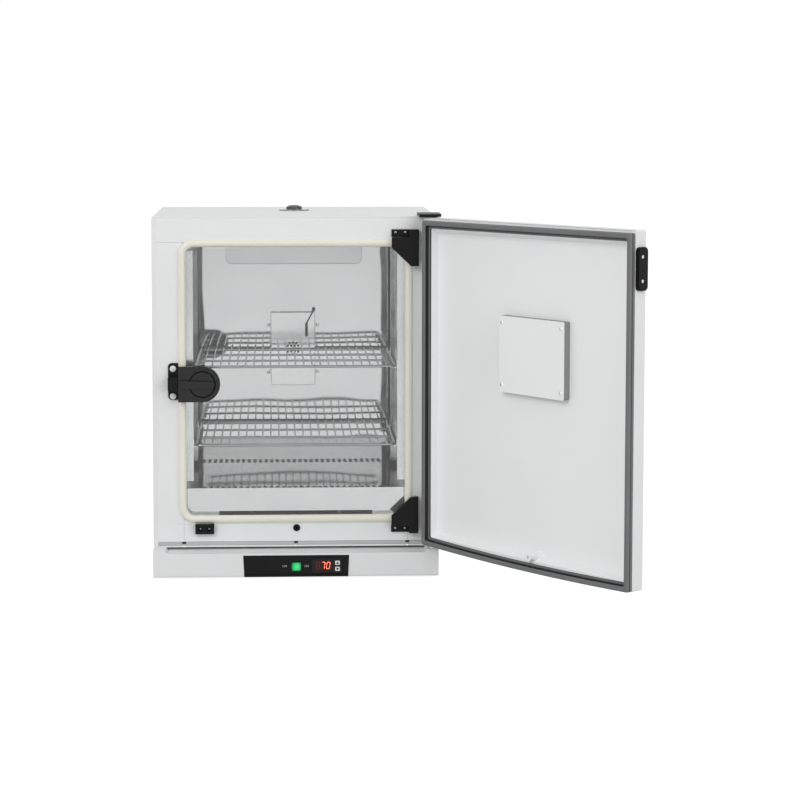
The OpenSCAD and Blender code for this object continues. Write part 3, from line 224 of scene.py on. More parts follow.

# %% [markdown]
# Paints and metals. Powder coat is a satin white with a fine orange peel. The chamber is thin
# stainless sheet, so its mirror is a little wavy, and brushed: the grain is many times finer
# along one axis. The floor plate, the fan cover and the baffle have painted shade at their folds
# and holes: dark lines, which a shader gives more sharply than a lamp could.

# %% Paints and metals
POWDER = dict(mottle=0.012, grain=1100, grain_depth=0.00006, grain_strength=0.35, specular=0.25)
FINE_X, FINE_Z = (14, 1, 1), (1, 1, 14)
SHALLOW_WAVE = (5, 0.0012)
LINE = 0.0006  # half the width of a dark line
HOLE_ROWS = (-0.153, 0.124)  # y of the floor plate's two rows of air holes
FAN_AT = (-0.002, 0.375)  # x and z of the fan's axis
FAN_FOLDS_X, FAN_FOLDS_Z = (-0.0443, 0.0403), (0.3047, 0.4452)
# painted shade: dark lines on the holes' walls, at the cover's folds and holes, and at the baffle's fold
hole_wall_shade = [((0, y, 0.1543), (0.2, 0.004, LINE), 0.03) for y in HOLE_ROWS]
cover_fold_shade = [((x, 0.13, FAN_AT[1]), (LINE, 0.02, 0.08), 0.2) for x in FAN_FOLDS_X]
cover_fold_shade += [((0, 0.13, z), (0.05, 0.02, LINE), 0.25) for z in FAN_FOLDS_Z]
cover_hole_shade = [((FAN_AT[0], 0.1237, FAN_AT[1]), (0.02, LINE, 0.02), 0.02)]
baffle_fold_shade = [((0, 0.13, 0.5388), (0.2, 0.02, LINE), 0.25)]

looks = {
    "case_paint": dict(colour=(0.76, 0.765, 0.77), rough=0.52, **POWDER),
    "frame_paint": dict(colour=(0.78, 0.785, 0.79), rough=0.50, **POWDER),
    "grey_strip": dict(colour=(0.46, 0.465, 0.47), rough=0.35, mottle=0.05, grain=900),
    "stainless": dict(colour=(0.505, 0.505, 0.51), rough=0.045, metal=1.0, grain=260,
                      stretch=FINE_Z, grain_depth=0.000004, rough_swing=0.012,
                      wave=(6, 0.0024)),
    "floor_steel": dict(colour=(0.52, 0.52, 0.525), rough=0.045, metal=1.0, grain=260,
                        stretch=FINE_X, grain_depth=0.000004, rough_swing=0.012,
                        wave=SHALLOW_WAVE, shade_boxes=hole_wall_shade),
    "fan_steel": dict(colour=(0.53, 0.53, 0.535), rough=0.12, metal=1.0, mottle=0.04, grain=260,
                      stretch=FINE_X, grain_depth=0.000006, rough_swing=0.03,
                      wave=SHALLOW_WAVE, shade_boxes=cover_fold_shade + cover_hole_shade),
    "baffle_steel": dict(colour=(0.46, 0.46, 0.465), rough=0.2, metal=1.0, grain=260,
                         stretch=FINE_Z, grain_depth=0.000006, shade_boxes=baffle_fold_shade),
    "upright_steel": dict(colour=(0.50, 0.50, 0.505), rough=0.16, metal=1.0, mottle=0.06,
                          grain=300, grain_depth=0.00001),
    "flange_steel": dict(colour=(0.34, 0.34, 0.345), rough=0.14, metal=1.0, mottle=0.25,
                         mottle_scale=60, grain=500, grain_depth=0.00001),
    "wire": dict(colour=(0.31, 0.315, 0.32), rough=0.10, metal=1.0, mottle=0.06, grain=900,
                 grain_depth=0.00001),
    "dark_steel": dict(colour=(0.20, 0.195, 0.19), rough=0.38, metal=1.0, mottle=0.12,
                       mottle_scale=30),
    "motor_steel": dict(colour=(0.16, 0.17, 0.19), rough=0.4, mottle=0.08, grain=900),
    "screw_steel": dict(colour=(0.74, 0.74, 0.73), rough=0.27, metal=1.0, mottle=0.05,
                        grain=1300),
    "screw_white": dict(colour=(0.80, 0.80, 0.79), rough=0.3, grain=1300),
    "screw_dark": dict(colour=(0.30, 0.30, 0.30), rough=0.2, metal=1.0, mottle=0.1, grain=1300),
}
finishes = {name: finish_of(name, **look) for name, look in looks.items()}
print("paints and metals", len(finishes))

# %% [markdown]
# Rubber, foam and plastics. Mouldings are black with a fine spark-eroded grain, and the seals are
# soft silicone and grey rubber. The grey seal has painted shade in its groove and beside its lip,
# and it has these dark lines on its UV map, because they follow it round the door.

# %% Rubber and plastics
# painted shade: dark bands across the grey seal's profile, in its groove and beside its lip
seal_groove_shade = [((0.5, 0.585, 0), (1, 0.125, 1), 0.12), ((0.5, 0.10, 0), (1, 0.05, 1), 0.5),
              ((0.5, 0.99, 0), (1, 0.06, 1), 0.15)]

soft_looks = {
    "foam": dict(colour=(0.30, 0.29, 0.26), rough=0.95, mottle=0.12, mottle_scale=40, grain=300,
                 grain_depth=0.0012, grain_strength=0.8),
    "cream_rubber": dict(colour=(0.80, 0.765, 0.66), rough=0.48, grain=600,
                         grain_depth=0.00008),
    "grey_rubber": dict(colour=(0.165, 0.167, 0.17), rough=0.6, mottle=0.06, grain=800,
                        grain_depth=0.00008, specular=0.3, shade_boxes=seal_groove_shade, shade_space="UV"),
    # painted shade: mid-grey for the cover plate's shaded sides
    "plate_side_shade_grey": dict(colour=(0.30, 0.30, 0.305), rough=0.7, mottle=0.08, grain=900,
                     specular=0.2),
    "foot_rubber": dict(colour=(0.02, 0.02, 0.02), rough=0.7, mottle=0.2, grain=900),
    "cap_grey": dict(colour=(0.075, 0.075, 0.075), rough=0.34, mottle=0.12, grain=900),
    "black_plastic": dict(colour=(0.006, 0.006, 0.0065), rough=0.42, mottle=0.15, grain=1500,
                          grain_depth=0.00006, grain_strength=0.5, specular=0.14),
    "latch_black": dict(colour=(0.009, 0.009, 0.0095), rough=0.25, mottle=0.15, grain=1500,
                        grain_strength=0.4, specular=0.32),
    # painted shade: near-black for the shade round the air holes and in the knob's dish
    "shade_black": dict(colour=(0.0015, 0.0015, 0.0015), rough=0.6, mottle=0.2, grain=900,
                      specular=0.04),
    "gloss_black": dict(colour=(0.007, 0.007, 0.0075), rough=0.18, mottle=0.1, grain=600,
                        grain_depth=0.00002, specular=0.22),
    "grey_plastic": dict(colour=(0.30, 0.30, 0.29), rough=0.45, mottle=0.05, grain=900),
    "light_plastic": dict(colour=(0.90, 0.905, 0.91), rough=0.40, mottle=0.01, grain=800,
                          wave=SHALLOW_WAVE),
    "display_red": dict(colour=(0.03, 0.003, 0.003), rough=0.1, mottle=0.1, grain=400,
                        grain_depth=0.00001, specular=0.25),
    "key_white": dict(colour=(0.74, 0.74, 0.72), rough=0.3),
    "print_grey": dict(colour=(0.42, 0.42, 0.42), rough=0.5, mottle=0.05, grain=900),
}
finishes.update({name: finish_of(name, **look) for name, look in soft_looks.items()})
print("finishes so far", len(finishes))

# %% [markdown]
# Clear glass. Looked through squarely it hardly shows. A closed pane would darken the chamber
# behind it, so the shader lets the shadow rays and the diffuse rays straight through.


# %% Glass
def any_ray(tree, *kinds):
    """1 for a ray of one of the kinds, and 0 for others: the largest of the kinds' flags."""
    rays = tree.nodes.new("ShaderNodeLightPath")
    flag = rays.outputs[kinds[0]]
    for kind in kinds[1:]:
        flag = maths(tree, "MAXIMUM", flag, rays.outputs[kind])
    return flag


def by_ray(tree, flag, plain, chosen, out):
    """Sends the chosen shader to the output for the flagged rays, and the plain one for others."""
    mix = tree.nodes.new("ShaderNodeMixShader")
    for value, socket in zip((flag, plain.outputs[0], chosen.outputs[0]), mix.inputs):
        tree.links.new(value, socket)
    tree.links.new(mix.outputs[0], out.inputs["Surface"])


def clear_glass():
    """Principled glass for what is seen, and a clear shader for the rays that light the inside."""
    material, tree, out, shader = new_material("glass")
    shader.inputs["Base Color"].default_value = (0.985, 0.992, 0.99, 1)
    shader.inputs["Transmission Weight"].default_value = 1.0
    shader.inputs["IOR"].default_value = 1.46
    haze = ranged(tree, noise(tree, 12), 0.0, 0.012)
    tree.links.new(haze, shader.inputs["Roughness"])
    clear = tree.nodes.new("ShaderNodeBsdfTransparent")
    clear.inputs["Color"].default_value = (0.965, 0.975, 0.972, 1)
    by_ray(tree, any_ray(tree, "Is Shadow Ray", "Is Diffuse Ray"), shader, clear, out)
    return material


finishes["glass"] = clear_glass()
print("glass nodes", len(finishes["glass"].node_tree.nodes))

# %% [markdown]
# The rocker is a tinted moulding with a lamp behind its middle. So the green glows strongest in
# the middle, and the glow falls off evenly towards the edges. A real lamp behind a thin shell
# would do it too, but it would be slow and grainy, so the fall-off is in the emission itself.

# %% Lit rocker
ROCKER_AT = (0.0005, -0.2150, 0.0221)
GLOW_REACH, GLOW_MIDDLE, GLOW_EDGE = 0.0098, 0.85, 0.03


def lit_green():
    """Green plastic whose emission falls from the rocker's middle to its reach."""
    material, tree, out, shader = new_material("rocker_green")
    shader.inputs["Base Color"].default_value = (0.008, 0.30, 0.085, 1)
    shader.inputs["Emission Color"].default_value = (0.04, 1.0, 0.26, 1)
    where = tree.nodes.new("ShaderNodeTexCoord")
    off = tree.nodes.new("ShaderNodeVectorMath")
    off.operation = "DISTANCE"
    off.inputs[1].default_value = ROCKER_AT
    tree.links.new(where.outputs["Object"], off.inputs[0])
    fall = tree.nodes.new("ShaderNodeMapRange")
    fall.inputs["From Max"].default_value = GLOW_REACH
    fall.inputs["To Min"].default_value = GLOW_MIDDLE
    fall.inputs["To Max"].default_value = GLOW_EDGE
    tree.links.new(off.outputs["Value"], fall.inputs["Value"])
    tree.links.new(fall.outputs["Result"], shader.inputs["Emission Strength"])
    tree.links.new(ranged(tree, noise(tree, 500), 0.18, 0.26), shader.inputs["Roughness"])
    return material


finishes["rocker_green"] = lit_green()
print("glow reaches", GLOW_REACH / MM, "mm from the rocker's middle")

# %% [markdown]
# Each node takes the finish that its record names, apart from the few whose sheet or moulding
# looks different from the rest of that material.

# %% Finishes on the nodes
slot_of = {part["node"]: part["material_slot"] for part in frame["record"]["subparts"]}
own_finish = {"vent_flange": "flange_steel", "vent_cap": "cap_grey", "fan_cover": "fan_steel",
              "vent_baffle": "baffle_steel", "left_uprights": "upright_steel",
              "right_uprights": "upright_steel", "floor_plate": "floor_steel",
              "fan_wheel": "black_plastic", "latch_housing": "latch_black",
              "latch_knob": "latch_black"}
for name, obj in nodes.items():
    obj.data.materials.clear()
    obj.data.materials.append(finishes[own_finish.get(name, slot_of[name])])
print("nodes with a finish of their own", len(own_finish))

# %% [markdown]
# Sheet metal and mouldings have small rounds on every edge, and these catch the light. Such
# rounds could be cut in the solids, at the cost of many faces that nothing else needs. So the
# solid's own mesh stays as it is, and modifiers weld it, clear its flat faces and bevel it.


# %% Rounded edges
def round_edges(names, width, segments=2, angle=35):
    """Weld, dissolve the flats, bevel what is sharper than the angle, and weight the normals."""
    for name in names:
        obj = nodes[name]
        weld = obj.modifiers.new("weld", "WELD")
        weld.merge_threshold = 0.00001
        flat = obj.modifiers.new("flats", "DECIMATE")
        flat.decimate_type = "DISSOLVE"
        flat.angle_limit = math.radians(0.5)
        edge = obj.modifiers.new("edges", "BEVEL")
        edge.width = width
        edge.segments = segments
        edge.limit_method = "ANGLE"
        edge.angle_limit = math.radians(angle)
        edge.harden_normals = True
        edge.use_clamp_overlap = True
    print(len(names), "nodes rounded by", width / MM, "mm")


round_edges(["outer_case", "base_housing", "door_shell"], 0.0009, 3)
round_edges(["top_rail", "left_stile", "right_stile", "bottom_rail", "plinth_strip",
             "door_cover_plate", "fan_cover", "vent_baffle", "floor_plate"], 0.0005)
round_edges(["glass_clamp_top", "glass_clamp_bottom", "glass_hinge_top", "glass_hinge_bottom",
             "strike_plate", "glass_rest", "latch_housing", "latch_knob", "door_hinge_cap",
             "up_button", "down_button", "switch_bezel", "controller_case", "power_rocker"],
            0.0006)

# %% [markdown]
# New pieces are grids of points. One helper turns a grid into a mesh with a UV map, joined end
# to end where a direction is closed. Another gives the outline that the seals and the cover plate's side shade
# follow.


# %% Surface kit
def surface(name, points, body, finish, closed_u=False, closed_v=False, sharp=40):
    """A mesh from points[u, v]. Quads join neighbours in u and v, and wrap where closed."""
    count_u, count_v = points.shape[:2]
    us = np.arange(count_u if closed_u else count_u - 1)
    vs = np.arange(count_v if closed_v else count_v - 1)
    u, v = np.meshgrid(us, vs, indexing="ij")
    u2, v2 = (u + 1) % count_u, (v + 1) % count_v
    quads = np.stack([u * count_v + v, u2 * count_v + v, u2 * count_v + v2, u * count_v + v2], -1)
    quads = quads.reshape(-1, 4)
    mesh = bpy.data.meshes.new(name)
    mesh.from_pydata(points.reshape(-1, 3).tolist(), [], quads.tolist())
    layer = mesh.uv_layers.new(name="UVMap")
    corner_u = np.stack([u, u + 1, u + 1, u], -1).reshape(-1) / max(1, count_u - 1)
    corner_v = np.stack([v, v, v + 1, v + 1], -1).reshape(-1) / max(1, count_v - 1)
    layer.data.foreach_set("uv", np.stack([corner_u, corner_v], -1).reshape(-1))
    mesh.shade_smooth()
    mesh.set_sharp_from_angle(angle=math.radians(sharp))
    obj = bpy.data.objects.new(name, mesh)
    obj.data.materials.append(finish)
    bpy.context.scene.collection.objects.link(obj)
    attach(obj, body)
    return obj


def rounded_loop(left, right, low, high, radius, straight=24, corner=10):
    """A rounded rectangle in X and Z as points and outward normals, anticlockwise."""
    points, normals = [], []
    corners = [(right - radius, low + radius, -90), (right - radius, high - radius, 0),
               (left + radius, high - radius, 90), (left + radius, low + radius, 180)]
    angle = np.radians(np.linspace(0, 90, corner))
    for index, (x, z, start) in enumerate(corners):
        turn = angle + math.radians(start)
        normal = np.stack([np.cos(turn), np.sin(turn)], -1)
        arc = np.array([x, z]) + radius * normal
        x2, z2, start2 = corners[(index + 1) % 4]
        normal2 = np.array([math.cos(math.radians(start2)), math.sin(math.radians(start2))])
        target = np.array([x2, z2]) + radius * normal2
        t = np.linspace(0, 1, straight + 2)[1:-1, None]
        run = arc[-1] * (1 - t) + target * t
        points += [arc, run]
        normals += [normal, np.repeat(normal2[None], straight, 0)]
    return np.concatenate(points), np.concatenate(normals)


print("a rounded loop has", len(rounded_loop(0, 1, 0, 1, 0.1)[0]), "points")

# %% [markdown]
# The outer door stands open. Its pieces are worked out as if it were shut, where its sides lie
# along X and Z, and are then turned about the hinge's axis.

# %% Open door
joint_of = {joint["name"]: joint for joint in frame["joints"]}
PIVOT = np.array(joint_of["outer_door_hinge"]["pos_m"])
DOOR_OPEN = math.radians(127.4)


def swung(points):
    """Turns points of the closed door about its pivot to where it stands open."""
    turn = np.array(Matrix.Rotation(DOOR_OPEN, 3, "Z"))
    return (points - PIVOT) @ turn.T + PIVOT


print("hinge axis at", PIVOT[:2].round(4))

# %% [markdown]
# The outer door's seal is a grey bellows profile: a soft crown on two folded walls, a groove,
# and a flat lip that hooks into the pan. It is carried round a rounded rectangle, and along the
# lower edge it hangs a few millimetres low in the middle, as the real one does. A curve with a
# bevel object could sweep it, but it would not sag in one place and stay straight in another.

# %% Outer door seal
RIM_Y = FACE_Y - 0.0122  # the rim of the shut door's pan
SEAL_LEFT, SEAL_RIGHT = -0.2545, 0.2475
SEAL_TOP, SEAL_BOTTOM = 0.6398, 0.0607
SEAL_ROUND = 0.0035
SEAL_SAG, SAG_REACH = 0.0048, 0.02  # how low it hangs, and how far up from the edge it is pulled
SEAL_PROFILE = np.array([  # from the outer foot, over the crown, to the inner lip, in mm
    (0.0, 0.0), (-0.2, 4.6), (0.9, 5.6), (-0.1, 6.8), (0.2, 9.6), (1.2, 10.9), (4.3, 11.3),
    (7.6, 10.9), (8.5, 9.8), (8.2, 6.6), (7.3, 5.6), (8.3, 4.6), (8.5, 2.2), (9.0, 1.5),
    (9.4, 2.9), (10.2, 3.5), (13.0, 3.4), (13.7, 2.4), (13.7, 0.0)]) * MM


def door_seal():
    """Each profile point is the outline shrunk by its inset on every side, at its height.

    The sag is a parabola across the door, times how near the point is to the lower edge.
    """
    loop = rounded_loop(SEAL_LEFT, SEAL_RIGHT, SEAL_BOTTOM, SEAL_TOP, SEAL_ROUND)[0]
    across = (loop[:, 0] - SEAL_LEFT) / (SEAL_RIGHT - SEAL_LEFT)
    low = np.clip((SEAL_BOTTOM + SAG_REACH - loop[:, 1]) / SAG_REACH, 0, 1)
    sag = SEAL_SAG * low * np.clip(1 - (2 * across - 1) ** 2, 0, 1)
    inset, height = SEAL_PROFILE[:, 0], SEAL_PROFILE[:, 1]
    middle = np.array([(SEAL_LEFT + SEAL_RIGHT) / 2, (SEAL_BOTTOM + SEAL_TOP) / 2])
    half = np.array([SEAL_RIGHT - SEAL_LEFT, SEAL_TOP - SEAL_BOTTOM]) / 2
    shrink = 1 - inset[None, :, None] / half
    grid = middle + (loop - middle)[:, None] * shrink
    x = grid[..., 0]
    z = grid[..., 1] - sag[:, None]
    y = RIM_Y + height[None] + 0 * x
    return swung(np.stack([x, y, z], -1))


seal = surface("door_seal", door_seal()[::-1], "outer_door", finishes["grey_rubber"],
               closed_u=True)
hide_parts("door_gasket")
print("door seal points", len(seal.data.vertices))

# %% [markdown]
# The chamber's seal is a cream silicone cord with a low crown and a fine moulding line on both
# sides, glued round the mouth. Its height varies a little, as hand-laid cord does. It is carried
# along the mouth's outline as the door's seal is, with more points on the straights.

# %% Chamber seal
low_corner, high_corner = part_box("chamber_seal")
MOUTH_ROUND = 0.0283
UNEVEN = 0.025  # the most that the crown falls short, as a share of its height
CHAMBER_PROFILE = np.array([(0.0, 0.0), (0.1, 1.6), (0.9, 3.4), (2.6, 4.9), (4.8, 5.75),
                            (6.65, 6.0), (8.5, 5.75), (10.7, 4.9), (12.4, 3.4), (13.2, 1.6),
                            (13.3, 0.0)]) * MM


def chamber_bead():
    """The profile carried round the mouth: height * (1 - uneven * (1 + sine * sine) / 2)."""
    loop, normal = rounded_loop(low_corner.x, high_corner.x, low_corner.z, high_corner.z,
                                MOUTH_ROUND, straight=60)
    length = np.linspace(0, 2 * math.pi, len(loop), endpoint=False)
    uneven = 1 - UNEVEN * (0.5 + 0.5 * np.sin(9 * length) * np.sin(23 * length + 1))
    inset, height = CHAMBER_PROFILE[:, 0], CHAMBER_PROFILE[:, 1]
    grid = loop[:, None] - inset[None, :, None] * normal[:, None]
    y = FACE_Y - height[None] * uneven[:, None]
    return np.stack([grid[..., 0], y, grid[..., 1]], -1)


bead = surface("chamber_bead", chamber_bead(), "cabinet", finishes["cream_rubber"],
               closed_u=True)
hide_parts("chamber_seal")
print("chamber seal points", len(bead.data.vertices))

# %% [markdown]
# Behind each seam of the front frame lies a folded flange in the same paint, so a seam shows as
# a fine grey line and not as a black slit. The flanges are narrow ribbons, each as deep behind
# the face as its seam looks. Full bends could be modelled, but only this line of each shows.
# Behind the strip's three notches lies a black sheet: painted shade for the dark inside of each notch.

# %% Seam flanges
SEAMS = [  # x from, x to, z from, z to of what shows through each seam, and its depth, in mm
    (-248.5, -247.1, 54.0, 643.0, 0.25), (247.1, 248.5, 54.0, 643.0, 0.25),
    (-248.0, 248.0, 642.0, 643.3, 0.5), (-247.8, -200.6, 599.5, 600.9, 1.53),
    (200.6, 247.8, 599.5, 600.9, 1.53), (-201.4, -200.2, 61.2, 100.4, 1.53),
    (200.2, 201.4, 61.2, 100.4, 1.53)]
NOTCH_X, NOTCH_HALF = (-200.8, 0.0, 200.8), 4.5
# painted shade: a black sheet behind each notch
NOTCH_SHADE_SHEETS = [(x - NOTCH_HALF, x + NOTCH_HALF, 56.0, 61.6, 1.6) for x in NOTCH_X]


def ribbon(name, finish, left, right, low, high, depth):
    """A flat strip facing the front, from one corner to the other."""
    x, z = np.meshgrid(np.linspace(left, right, 2), np.linspace(low, high, 2), indexing="ij")
    points = np.stack([x * MM, 0 * x + FACE_Y + depth * MM, z * MM], -1)
    return surface(name, points, "cabinet", finishes[finish])


def joined(name, objects):
    """Joins several pieces on one body into one."""
    bpy.ops.object.select_all(action="DESELECT")
    for obj in objects:
        obj.select_set(True)
    bpy.context.view_layer.objects.active = objects[0]
    bpy.ops.object.join()
    objects[0].name = name
    print(name, "has", len(objects[0].data.polygons), "faces")
    return objects[0]


strips = [("frame_paint", *seam) for seam in SEAMS] + [("foot_rubber", *n) for n in NOTCH_SHADE_SHEETS]
flanges = joined("seam_flanges", [ribbon(f"flange_{k}", *s) for k, s in enumerate(strips)])

# %% [markdown]
# Round each of the floor plate's air holes lies painted shade: a flat black oval ring on the plate
# round its hole, longer from front to back than across. As a mesh it keeps a sharp edge, where a
# spot in the plate's shader would have to repeat the holes' places.

# %% Air hole shade rings
HOLE_PITCH, HOLE_COUNT, HOLE_R = 0.0109, 33, 0.0023
SHADE_RING_HALF_X, SHADE_RING_HALF_Y, SHADE_RING_UP = 0.0036, 0.0084, 0.00005
SHADE_RING_POINTS = 20
PLATE_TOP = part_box("floor_plate")[1].z


def hole_shade_ring(x, y):
    """Two rings of points: the hole's circle, and an ellipse round it."""
    angle = np.linspace(0, 2 * math.pi, SHADE_RING_POINTS, endpoint=False)
    ring = np.stack([np.cos(angle), np.sin(angle)], -1)
    across = np.stack([ring * HOLE_R, ring * (SHADE_RING_HALF_X, SHADE_RING_HALF_Y)]) + (x, y)
    level = np.full((2, SHADE_RING_POINTS, 1), PLATE_TOP + SHADE_RING_UP)
    return np.concatenate([across, level], -1)


# painted shade: a black ring round each hole
hole_shades = [surface(f"rim_{y}_{k}", hole_shade_ring((k - (HOLE_COUNT - 1) / 2) * HOLE_PITCH, y), "cabinet",
                finishes["shade_black"], closed_v=True)
        for y in HOLE_ROWS for k in range(HOLE_COUNT)]
joined("air_hole_shade_rings", hole_shades)

# %% [markdown]
# Round the knob the housing has a narrow dish, whose shade is painted as a black ring. Cut into the
# solid it would be a fine groove for no other use. So it is a flat black ring of painted shade on
# the housing's face, and the grip passes over it freely.

# %% Knob dish shade
KNOB_AT = (-0.1661, 0.348)  # x and z of the knob's axis
KNOB_SHADE_RADII = np.array([0.0222, 0.0231, 0.0240])
RING_UP = 0.00006


def knob_dish_shade():
    """Three circles about the knob's axis, just in front of the housing's face."""
    angle = np.linspace(0, 2 * math.pi, 96, endpoint=False)
    x = KNOB_AT[0] + KNOB_SHADE_RADII[:, None] * np.cos(angle)
    z = KNOB_AT[1] + KNOB_SHADE_RADII[:, None] * np.sin(angle)
    return np.stack([x, 0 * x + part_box("latch_housing")[0].y - RING_UP, z], -1)


# painted shade: the black ring stands for the dish's shade
ring = surface("knob_dish_shade", knob_dish_shade(), "glass_door", finishes["shade_black"], closed_v=True)
print("knob ring points", len(ring.data.vertices))

# %% [markdown]
# Under the control panel the base's front is black too, as if the panel's foil went on round the
# edge. So a thin black sheet is bent round it, a profile carried across the panel's width.

# %% Panel skirt
SKIRT = np.array([(-216.3, 8.6), (-217.75, 7.9), (-217.8, 5.0), (-217.75, 3.9), (-213.0, 3.85)])
SKIRT_HALF = 92.85


def panel_skirt():
    """The edge's profile, in y and z, carried across the panel's width."""
    x = np.linspace(-SKIRT_HALF, SKIRT_HALF, 9)[:, None] + 0 * SKIRT[:, 0]
    return np.stack([x, SKIRT[:, 0] + 0 * x, SKIRT[:, 1] + 0 * x], -1) * MM


skirt = surface("panel_skirt", panel_skirt()[::-1], "cabinet", finishes["black_plastic"])
print("panel skirt", 2 * SKIRT_HALF, "mm wide")

# %% [markdown]
# Screw heads: a low dome with a cross recess. The height of the dome falls off towards its rim,
# and near the two arms of the cross it is pressed in. Cutting the cross out would leave long thin
# faces that shade badly, and a height over a polar grid doesn't. All heads that share a node are
# one piece, and each is turned further than the one before, as screws end up in real sheet.

# %% Screw heads
HEAD_RINGS, HEAD_SPOKES = 26, 64
ARM_HALF, ARM_FADE = 0.14, 0.06  # the cross, as shares of the head's radius
ARM_REACH, REACH_FADE = 0.62, 0.08
RECESS = 0.62  # depth of the cross as a share of the head's height
FIRST_TURN, NEXT_TURN = 0.4, 0.7  # radians


def screw_head(at, outward, diameter, height, turn):
    """Polar grid: height * sqrt(1 - 0.75 r^2), less the depth where |u| or |v| is in an arm."""
    radius = np.concatenate([np.linspace(0.0, 1.0, HEAD_RINGS), [1.0]])
    angle = np.linspace(0, 2 * math.pi, HEAD_SPOKES, endpoint=False)
    r, a = np.meshgrid(radius, angle, indexing="ij")
    dome = height * np.sqrt(1 - 0.75 * r ** 2)
    u = r * np.cos(a)
    v = r * np.sin(a)
    arm = np.clip((ARM_HALF - np.minimum(np.abs(u), np.abs(v))) / ARM_FADE, 0, 1)
    level = dome - RECESS * height * arm * np.clip((ARM_REACH - r) / REACH_FADE, 0, 1)
    level[-1] = 0
    normal = Vector(outward).normalized()
    side = normal.cross(Vector((0, 0, 1))).normalized()
    up = side.cross(normal)
    side, up = (side * math.cos(turn) + up * math.sin(turn),
                up * math.cos(turn) - side * math.sin(turn))
    flat = 0.5 * diameter * (u[..., None] * np.array(side) + v[..., None] * np.array(up))
    return np.array(at) + flat + level[..., None] * np.array(normal)


def screw_group(name, rows, body, node):
    """One piece of all the screw heads that share a node, from rows of (spots, finish)."""
    heads = [surface(f"{name}_{finish}_{k}",
                     screw_head(*spot, FIRST_TURN + NEXT_TURN * k)[:, ::-1], body,
                     finishes[finish], closed_v=True)
             for spots, finish in rows for k, spot in enumerate(spots)]
    group = joined(name, heads)
    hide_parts(node)


TO_FRONT, TO_BACK = (0, -1, 0), (0, 1, 0)
BUTTON = (0.007, 0.0018)  # diameter and height of the common head
print("a head has", (HEAD_RINGS + 1) * HEAD_SPOKES, "points")

# %% [markdown]
# The screws of the front frame: two big white ones in the strike plate, small dark ones in the
# hinge brackets and the glass rest, and a bright one under each of the strip's notches. Their
# three finishes stay apart inside one piece.

# %% Frame screws
PLATE_Y = FACE_Y - 0.003  # front of the black plates on the frame
BIG, DARK, REST, LIP = (0.011, 0.0022), (0.0048, 0.0016), (0.0052, 0.0016), (0.0044, 0.0014)
STRIKE_X, STRIKE_Z = -0.21866, (0.3251, 0.3744)
BRACKET_X, BRACKET_Z = (0.1787, 0.1962), (0.6169, 0.0843)
REST_X, REST_Z = (-0.1715, -0.1555), 0.0849
LIP_Z = 0.0523
strike_spots = [((STRIKE_X, PLATE_Y, z), TO_FRONT, *BIG) for z in STRIKE_Z]
small_spots = [((x, PLATE_Y, z), TO_FRONT, *DARK) for x in BRACKET_X for z in BRACKET_Z]
small_spots += [((x, PLATE_Y, REST_Z), TO_FRONT, *REST) for x in REST_X]
lip_spots = [((x * MM, FACE_Y, LIP_Z), TO_FRONT, *LIP) for x in NOTCH_X]
screw_group("frame_screw_heads", [(strike_spots, "screw_white"), (small_spots, "screw_dark"),
                                  (lip_spots, "screw_steel")], "cabinet", "frame_screws")

# %% [markdown]
# The screws of the outer door: four in the white cover plate, and two in the handle, whose heads
# face the door's free side. Their places are given on the shut door and swung open with it.

# %% Door screws
PAN_FLOOR = RIM_Y - 0.0168  # the pan's floor on the shut door
COVER_FACE = PAN_FLOOR + 0.0138
COVER_X, COVER_Z, COVER_W, COVER_H = -0.016, 0.4195, 0.156, 0.131
COVER_SCREW_X, COVER_SCREW_Z = 0.071, 0.0535  # from the plate's middle
HANDLE_X, HANDLE_Y, HANDLE_Z = -0.2595, RIM_Y - 0.01185, 0.5825  # on the handle's face
HANDLE_SCREW_Z = 0.0195
SIDES = (-1, 1)
inward = swung(PIVOT + np.array([[0, 1.0, 0]]))[0] - PIVOT
free_side = swung(PIVOT + np.array([[-1.0, 0, 0]]))[0] - PIVOT
cover_shut = [(COVER_X + sx * COVER_SCREW_X, COVER_FACE, COVER_Z + sz * COVER_SCREW_Z)
              for sx in SIDES for sz in SIDES]
handle_shut = [(HANDLE_X, HANDLE_Y, HANDLE_Z + sz * HANDLE_SCREW_Z) for sz in SIDES]
door_spots = [(at, inward, *BUTTON) for at in swung(np.array(cover_shut))]
door_spots += [(at, free_side, *BUTTON) for at in swung(np.array(handle_shut))]
screw_group("door_screw_heads", [(door_spots, "screw_steel")], "outer_door", "door_screws")

# %% [markdown]
# The screws of the sheet panels: four in the fan cover's ears, and eight round the back panel,
# at its corners and the middles of its sides.

# %% Panel screws
EAR_Y = 0.136 - 0.0012  # front of the fan cover's ears, a sheet's thickness off the wall
EAR_X, EAR_Z = 0.0475, 0.0455  # from the fan's axis
BACK_Y, BACK_X, BACK_Z = 0.180, 0.2465, (0.060, 0.3485, 0.637)
panel_spots = [((FAN_AT[0] + sx * EAR_X, EAR_Y, FAN_AT[1] + sz * EAR_Z), TO_FRONT, *BUTTON)
               for sx in SIDES for sz in SIDES]
panel_spots += [((sx * BACK_X, BACK_Y, z), TO_BACK, *BUTTON)
                for sx in (-1, 0, 1) for z in BACK_Z if sx or z != BACK_Z[1]]
screw_group("panel_screw_heads", [(panel_spots, "screw_steel")], "cabinet", "panel_screws")

# %% [markdown]
# The white plate on the door's inside stands off the pan, and its sides show as a grey edge all
# round it: painted shade. Only that edge shows, so the shade is a closed grey ribbon, a tenth of a
# millimetre outside the plate's own edge.

# %% Cover plate's side shade
SIDE_SHADE_OUT, SIDE_SHADE_ROUND = 0.00012, 0.003
SIDE_SHADE_RISE = np.array([0.0, 0.004, 0.009, 0.0131])


